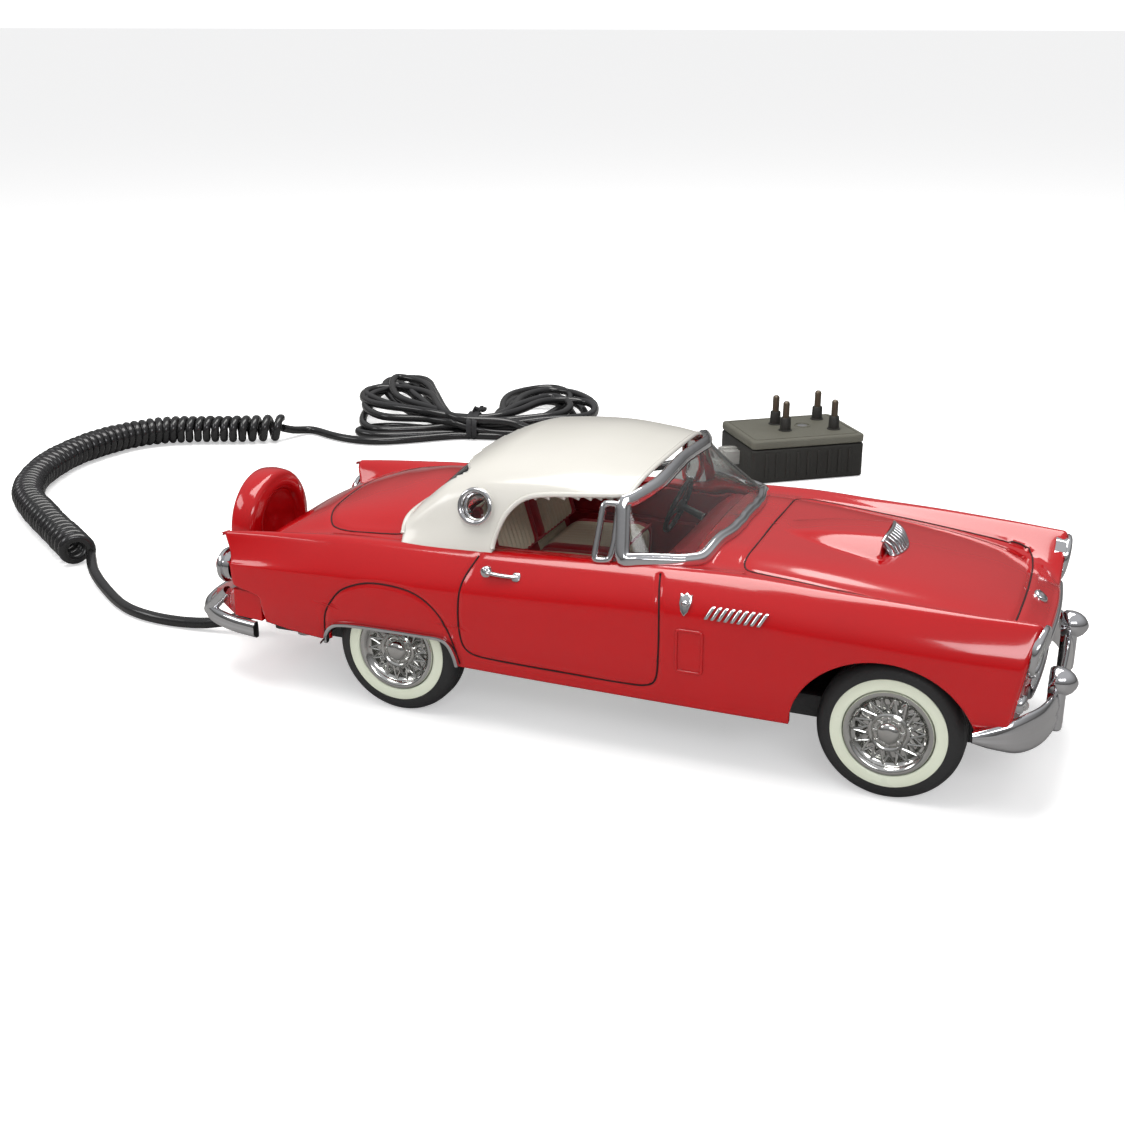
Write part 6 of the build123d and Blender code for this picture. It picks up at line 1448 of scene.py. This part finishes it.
plug_outline = rounded_rect(-along / 2 + 0.9, 0, 15.8, 9.6, 0.8, 3)
latch = rounded_rect(-along / 2 - 3.0, 0, 7.0, 3.2, 0.6, 3)
plug_way = np.array([-math.cos(turn_a), -math.sin(turn_a), 0])
plug_end = adapter_place(np.array([[-along / 2 - 7.0, 0, 8.5]]))[0]
boot = lathe(((-0.5, 0.02), (-0.5, 2.6), (3.6, 2.3), (4.0, 1.9)), plug_end, plug_way, 24)
plug = new_object("modular_plug_moulded", *join(block(plug_outline, 5.3, 11.7, 0.5, adapter_place, 2),
                                                block(latch, 11.6, 12.4, 0.25, adapter_place, 2), boot), PLUG,
                  "handset", "plug_clear", ["modular_plug"])
crisp(plug, 40)


# ------------------------------------------------------------------ keys' characters
KEY_TEXT = {"key_1": "1", "key_2": "2", "key_3": "3", "key_4": "4", "key_5": "5", "key_6": "6", "key_7": "7",
            "key_8": "8", "key_9": "9", "key_star": "*", "key_0": "0", "key_hash": "#"}


def printed(text, at, size, body_name, name):
    """Thin raised lettering on the underside, read from below with the nose to the top."""
    curve = bpy.data.curves.new(name, "FONT")
    curve.body = text
    curve.size = size * MM
    curve.align_x = curve.align_y = "CENTER"
    curve.extrude = 0.00005
    temp = bpy.data.objects.new(name + "_text", curve)
    bpy.context.scene.collection.objects.link(temp)
    bpy.context.view_layer.update()
    mesh = bpy.data.meshes.new_from_object(temp.evaluated_get(bpy.context.evaluated_depsgraph_get()))
    co = np.empty(len(mesh.vertices) * 3)
    mesh.vertices.foreach_get("co", co)
    co = co.reshape(-1, 3)
    placed = np.column_stack([at[0] * MM + co[:, 1], at[1] * MM + co[:, 0], at[2] * MM - co[:, 2]])
    mesh.vertices.foreach_set("co", placed.ravel())
    mesh.update()
    bpy.data.objects.remove(temp)
    obj = bpy.data.objects.new(name, mesh)
    bpy.context.scene.collection.objects.link(obj)
    mesh.materials.clear()
    mesh.materials.append(PRINT)
    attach(obj, body_name)
    return obj


for index, (node, text) in enumerate(KEY_TEXT.items()):
    x, y = -19.0 - 12.5 * (index // 3), (index % 3 - 1) * 15.0
    size = 9.0 if text == "*" else 6.0
    shift = -2.2 if text == "*" else 0.0
    printed(text, (x + shift, y, 12.55), size, node + "_body", node + "_print")


# ------------------------------------------------------------------ cabin windows
def porthole_parts(side):
    """A porthole's rim and pane on one side of the roof."""
    x, y, z, lean = PORTHOLE_AT
    n = np.array([0, side * math.cos(lean), math.sin(lean)])
    at = np.array([x, side * y, z])
    rim = ((-1.0, 4.15), (0.5, 4.2), (0.55, 5.3), (0.95, 5.4), (1.35, 5.1), (1.5, 4.6), (1.25, 4.15),
           (0.4, 3.85),
           (-0.8, 3.8))
    pane = ((-0.7, 0.02), (-0.7, 3.85), (-0.1, 3.85), (0.05, 2.6), (0.1, 0.02))
    return lathe(rim, at, n, 72), lathe(pane, at, n, 48)


rims, panes = zip(*(porthole_parts(side) for side in (-1, 1)))
rims = new_object("porthole_rim_rings", *join(*rims), CHROME, "handset", "chrome", ["porthole_rims"])

pane_v, pane_f = filled(rounded_rect(0, 67.0, 61.4, 11.4, 3.2), (), 1.6)
curved = []
for y, z in pane_v:
    hit = roof_tree.ray_cast(Vector((-140, y, z)), Vector((1, 0, 0)))
    curved.append(tuple(hit[0] - hit[1] * (0.5 if hit[1].x < 0 else -0.5)) if hit[0] else (-60, y, z))
rear_pane = new_object("rear_window_pane", curved, pane_f, GLASS, "handset", "glazing", ["cabin_windows"])
tidy_mesh(rear_pane, MERGE, centre=CABIN_MIDDLE)
thicken(rear_pane, PANE_WALL)

VENT_LOOP = ((-11.0, 55.6), (-6.4, 56.1), (-5.8, 60.5), (-5.8, 70.7), (-10.1, 70.5))


def vent_point(x, z, side, out):
    """A point on the leaning plane of the vent window."""
    lean = math.radians(19.0)
    return (x, side * (42.6 - (z - 54.5) * math.tan(lean) + out * math.cos(lean)), z + out * math.sin(lean))


vent_bars = []
for side in (-1, 1):
    loop = rounded_profile(VENT_LOOP, 1.2, closed=True, steps=3)
    loop = smooth_path(np.array([vent_point(x, z, side, -0.6) for x, z in loop]), 0.8, closed=True)
    vent_bars.append(tube(loop, 0.95, 10, closed=True))
    flat = filled(rounded_profile(VENT_LOOP, 1.2, closed=True, steps=3), (), 1.2)
    both = [vent_point(x, z, side, -0.4) for x, z in flat[0]], flat[1]
    panes += (both, ([vent_point(x, z, side, -0.8) for x, z in flat[0]],
                     [tuple(reversed(f)) for f in flat[1]]))
vents = new_object("vent_window_bars", *join(*vent_bars), CHROME, "handset", "chrome", ["vent_window_frames"])
new_object("porthole_and_vent_panes", *join(*panes), GLASS, "handset", "glazing")
for obj in (rims, vents):
    tidy_mesh(obj, MERGE)


# ------------------------------------------------------------------ side trim
def on_flank(side):
    """Maps a block drawn as (x, z, out) onto the flank of the body."""
    def place(v):
        return np.array([(x, onto_side(x, z, side, out), z) for x, z, out in v])

    return place


LOUVRE = [(0.0, 0.0), (1.15, 0.0), (3.15, 3.5), (2.0, 3.5)]
CREST = [(15.6, 51.6), (15.6, 49.4), (16.2, 47.4), (17.3, 46.0), (18.4, 47.4), (19.0, 49.4), (19.0, 51.6),
         (18.2, 51.2), (17.3, 51.9), (16.4, 51.2)]
MOULDING = ((-94.7, 19.4), (-94.2, 21.6), (-92.8, 24.0), (-91.2, 25.6), (-89.1, 26.6), (-84.0, 27.3),
            (-71.7, 27.8),
            (-60.0, 28.0), (-54.6, 27.9), (-52.6, 26.4), (-51.3, 22.8), (-50.8, 19.4))
trims, handles, mouldings = [], [], []
for side in (-1, 1):
    for k in range(9):
        bar = rounded_profile([(22.6 + 1.78 * k + x, 46.1 + z) for x, z in LOUVRE], 0.35, closed=True,
                              steps=2)
        trims.append(block(bar, -0.6, 0.75, 0.35, on_flank(side), 2))
    trims.append(block(rounded_profile(CREST, 0.3, closed=True, steps=2), -0.5, 0.6, 0.3, on_flank(side), 2))
    bead = (17.3, onto_side(17.3, 49.2, side, 0.5), 49.2)
    trims.append(lathe(((0, 1.0), (0.35, 0.9), (0.6, 0.5), (0.7, 0.02)), bead, (0, side, 0), 20))
    y0 = onto_side(-41.3, 49.2, side)
    handles.append(lathe(((-0.6, 1.75), (0.35, 1.7), (0.7, 1.35), (0.75, 1.05), (1.25, 0.95), (1.45, 0.5),
                          (1.5, 0.02)),
                         (-41.3, y0, 49.2), (0, side, 0.08), 32))
    grip = smooth_path([(-41.2, y0 + side * 0.5, 49.3), (-39.6, y0 + side * 1.2, 49.5),
                        (-36.5, y0 + side * 1.35, 49.4),
                        (-33.4, y0 + side * 1.0, 49.3), (-31.6, y0 + side * 0.1, 49.2)], 0.6)
    handles.append(sweep(grip, circle(0.85, 12, 0.7), up=(0, 0, 1), scale=np.linspace(1.05, 0.85, len(grip))))
    handles.append(block(rounded_rect(-32.0, 49.2, 2.6, 2.2, 0.9, 4), -0.6, 0.4, 0.3, on_flank(side), 2))
    path = smooth_path([(x, 0, z) for x, z in MOULDING], 0.9)
    path[:, 1] = [onto_side(x, max(z + 1.2, 21.0), side, 0.25) for x, _, z in path]
    mouldings.append(sweep(path, rounded_profile([(-0.6, -0.95), (0.6, -0.95), (0.6, 0.95), (-0.6, 0.95)],
                                                 0.45, True, 2),
                           up=(0, side, 0)))


def scoop_front(y):
    """The scoop's lip height at y, just behind its grille."""
    w = abs(y) / 9.5
    return 60.8 - 0.25 * min(w, 1) ** 2 - 6.0 * max(w - 0.62, 0) ** 1.6


fan, lip_path, foot_path = [], [], []
for y in np.linspace(-9.0, 9.0, 37):
    lip_path.append((62.1 - 0.012 * y * y, y, max(scoop_front(y), drop(64.5, y)) - 0.25))
    foot_path.append((66.6 - 0.03 * y * y, y, drop(66.6 - 0.03 * y * y, y, 0.1)))
lip_path, foot_path = np.array(lip_path), np.array(foot_path)
fan.append(tube(lip_path, 0.55, 10))
fan.append(tube(foot_path, 0.4, 8))
for k in range(2, 36, 4):
    a, b = lip_path[k], foot_path[k]
    mid = 0.5 * (a + b) + np.array([0.5, 0, 0.45])
    fan.append(tube(smooth_path([a, mid, b], 0.5), 0.46, 8))
panel = np.stack([lip_path + (foot_path - lip_path) * t - (0.35, 0, 0.35) for t in (0.0, 0.5, 1.0)])
fan.append((panel.reshape(-1, 3), sheet_faces(3, 37)))
scoop_fan = new_object("scoop_grille_fan", *join(*fan), CHROME, "handset", "chrome", ["scoop_grille"])
tidy_mesh(scoop_fan, MERGE)

for name, parts, node in (("fender_trim_louvres", trims, "fender_trims"),
                          ("door_handle_grips", handles, "door_handles"),
                          ("skirt_mouldings", mouldings, "skirt_trims")):
    piece = new_object(name, *join(*parts), CHROME, "handset", "chrome", [node])
    crisp(piece, 45)

recess = []
for side in (-1, 1):
    loop = smooth_path(np.column_stack([VENT_RECESS[:, 0], 0 * VENT_RECESS[:, 0], VENT_RECESS[:, 1]]), 0.8,
                       closed=True)
    loop[:, 1] = [onto_side(x, z, side, 0.05) for x, _, z in loop]
    recess.append(tube(loop, 0.42, 8, closed=True))
new_object("fender_panel_beads", *join(*recess), RED, "handset", "body_paint")
tip_z = drop(103.0, 0.0)
badge = lathe(((-0.6, 2.1), (0.3, 2.1), (0.7, 1.7), (0.6, 1.2), (0.9, 0.6), (1.0, 0.02)), (103.4, 0, tip_z),
              (0.62, 0, 0.78), 40)
new_object("nose_badge_plain", *badge, CHROME, "handset", "chrome")


# ------------------------------------------------------------------ finishes of the CAD nodes that stay
slots = {row["node"]: row["material_slot"] for row in frame["record"]["subparts"]}
for node, obj in frame["nodes"].items():
    obj.data.materials.clear()
    obj.data.materials.append(SLOT_LOOKS[slots[node]])
    if not obj.hide_render:
        obj.data.polygons.foreach_set("use_smooth", np.ones(len(obj.data.polygons), bool))
        obj.data.set_sharp_from_angle(angle=math.radians(30))
        soften = obj.modifiers.new("soft_edges", "BEVEL")
        soften.width = 0.00018
        soften.segments = 2
        soften.limit_method = "ANGLE"
        soften.angle_limit = math.radians(35)


# ------------------------------------------------------------------ floor, light and camera
def flat_material(name, colour, rough):
    """A plain material for the stage."""
    mat = bpy.data.materials.new(name)
    mat.use_nodes = True
    shader = mat.node_tree.nodes["Principled BSDF"]
    shader.inputs["Base Color"].default_value = (*colour, 1)
    shader.inputs["Roughness"].default_value = rough
    return mat


def stage_plane(name, size, z, mat):
    """A square of floor."""
    data = bpy.data.meshes.new(name)
    data.from_pydata([(-size, -size, z), (size, -size, z), (size, size, z), (-size, size, z)], [],
                     [(0, 1, 2, 3)])
    obj = bpy.data.objects.new(name, data)
    bpy.context.scene.collection.objects.link(obj)
    data.materials.append(mat)
    return obj


FLOOR_WHITE, FLOOR_IN_CHROME, FLOOR_LIFT = (0.86, 0.86, 0.86), (0.2, 0.197, 0.193), 0.42
floor_look = flat_material("floor_white", FLOOR_WHITE, 0.6)
floor_nodes, floor_links = floor_look.node_tree.nodes, floor_look.node_tree.links
ray = floor_nodes.new("ShaderNodeLightPath")
tone = floor_nodes.new("ShaderNodeMix")
tone.data_type = "RGBA"
tone.inputs["A"].default_value = (*FLOOR_WHITE, 1)
tone.inputs["B"].default_value = (*FLOOR_IN_CHROME, 1)
floor_links.new(ray.outputs["Is Glossy Ray"], tone.inputs["Factor"])
floor_links.new(tone.outputs["Result"], floor_nodes["Principled BSDF"].inputs["Base Color"])
lift = floor_nodes.new("ShaderNodeMath")
lift.operation = "MULTIPLY"
lift.inputs[1].default_value = FLOOR_LIFT
floor_links.new(ray.outputs["Is Camera Ray"], lift.inputs[0])
floor_nodes["Principled BSDF"].inputs["Emission Color"].default_value = (1, 1, 1, 1)
floor_links.new(lift.outputs["Value"], floor_nodes["Principled BSDF"].inputs["Emission Strength"])
facing = floor_nodes.new("ShaderNodeNewGeometry")
see_through = floor_nodes.new("ShaderNodeBsdfTransparent")
one_way = floor_nodes.new("ShaderNodeMixShader")
floor_links.new(facing.outputs["Backfacing"], one_way.inputs["Fac"])
floor_links.new(floor_nodes["Principled BSDF"].outputs["BSDF"], one_way.inputs[1])
floor_links.new(see_through.outputs["BSDF"], one_way.inputs[2])
floor_links.new(one_way.outputs["Shader"], floor_nodes["Material Output"].inputs["Surface"])
stage_plane("floor", 30.0, -0.0002, floor_look)


def soft_light(name, place, aim, width, height, power, colour=(1, 1, 1)):
    """A rectangular light aimed at a point."""
    light = bpy.data.lights.new(name, "AREA")
    light.shape, light.size, light.size_y = "RECTANGLE", width, height
    light.energy, light.color = power, colour
    obj = bpy.data.objects.new(name, light)
    obj.location = place
    obj.rotation_euler = (Vector(aim) - Vector(place)).to_track_quat("-Z", "Y").to_euler()
    bpy.context.scene.collection.objects.link(obj)


soft_light("overhead", (-0.1, 0.1, 0.9), (0, 0.05, 0), 1.1, 0.45, 9.5, (1.0, 0.985, 0.96))
soft_light("front_fill", (0.5, -0.9, 0.7), (0, 0, 0.04), 0.7, 0.25, 3.4, (0.97, 0.98, 1.0))
soft_light("left_fill", (-0.9, -0.4, 0.6), (-0.1, 0.05, 0.03), 0.5, 0.25, 1.6)

world = bpy.data.worlds.new("studio")
world.use_nodes = True
sky_nodes, sky_links = world.node_tree.nodes, world.node_tree.links
ray = sky_nodes.new("ShaderNodeLightPath")
way = sky_nodes.new("ShaderNodeTexCoord")
split = sky_nodes.new("ShaderNodeSeparateXYZ")
ramp = sky_nodes.new("ShaderNodeValToRGB")
ramp.color_ramp.elements[0].position = 0.02
ramp.color_ramp.elements[0].color = (0.16, 0.155, 0.15, 1)
ramp.color_ramp.elements[1].position = 0.75
ramp.color_ramp.elements[1].color = (0.85, 0.86, 0.88, 1)
blend_node = sky_nodes.new("ShaderNodeMix")
blend_node.data_type = "RGBA"
blend_node.inputs["A"].default_value = (0.97, 0.97, 0.975, 1)
sky_links.new(way.outputs["Generated"], split.inputs["Vector"])
sky_links.new(split.outputs["Z"], ramp.inputs["Fac"])
sky_links.new(ramp.outputs["Color"], blend_node.inputs["B"])
sky_links.new(ray.outputs["Is Glossy Ray"], blend_node.inputs["Factor"])
sky_links.new(blend_node.outputs["Result"], sky_nodes["Background"].inputs["Color"])
power = sky_nodes.new("ShaderNodeMath")
power.operation = "MULTIPLY_ADD"
power.inputs[1].default_value, power.inputs[2].default_value = 0.5, 0.6
sky_links.new(ray.outputs["Is Camera Ray"], power.inputs[0])
sky_links.new(power.outputs["Value"], sky_nodes["Background"].inputs["Strength"])
bpy.context.scene.world = world

camera = bpy.data.cameras.new("photo_angle")
camera.lens, camera.sensor_width, camera.sensor_fit = 47.36, 36.0, "HORIZONTAL"
camera.clip_start = 0.01
eye = bpy.data.objects.new("photo_angle", camera)
eye.location = (0.1227, -0.3964, 0.1938)
eye.rotation_euler = (math.radians(69.85), 0.0, math.radians(21.94))
bpy.context.scene.collection.objects.link(eye)
bpy.context.scene.camera = eye
bpy.context.scene.view_settings.view_transform = "Standard"
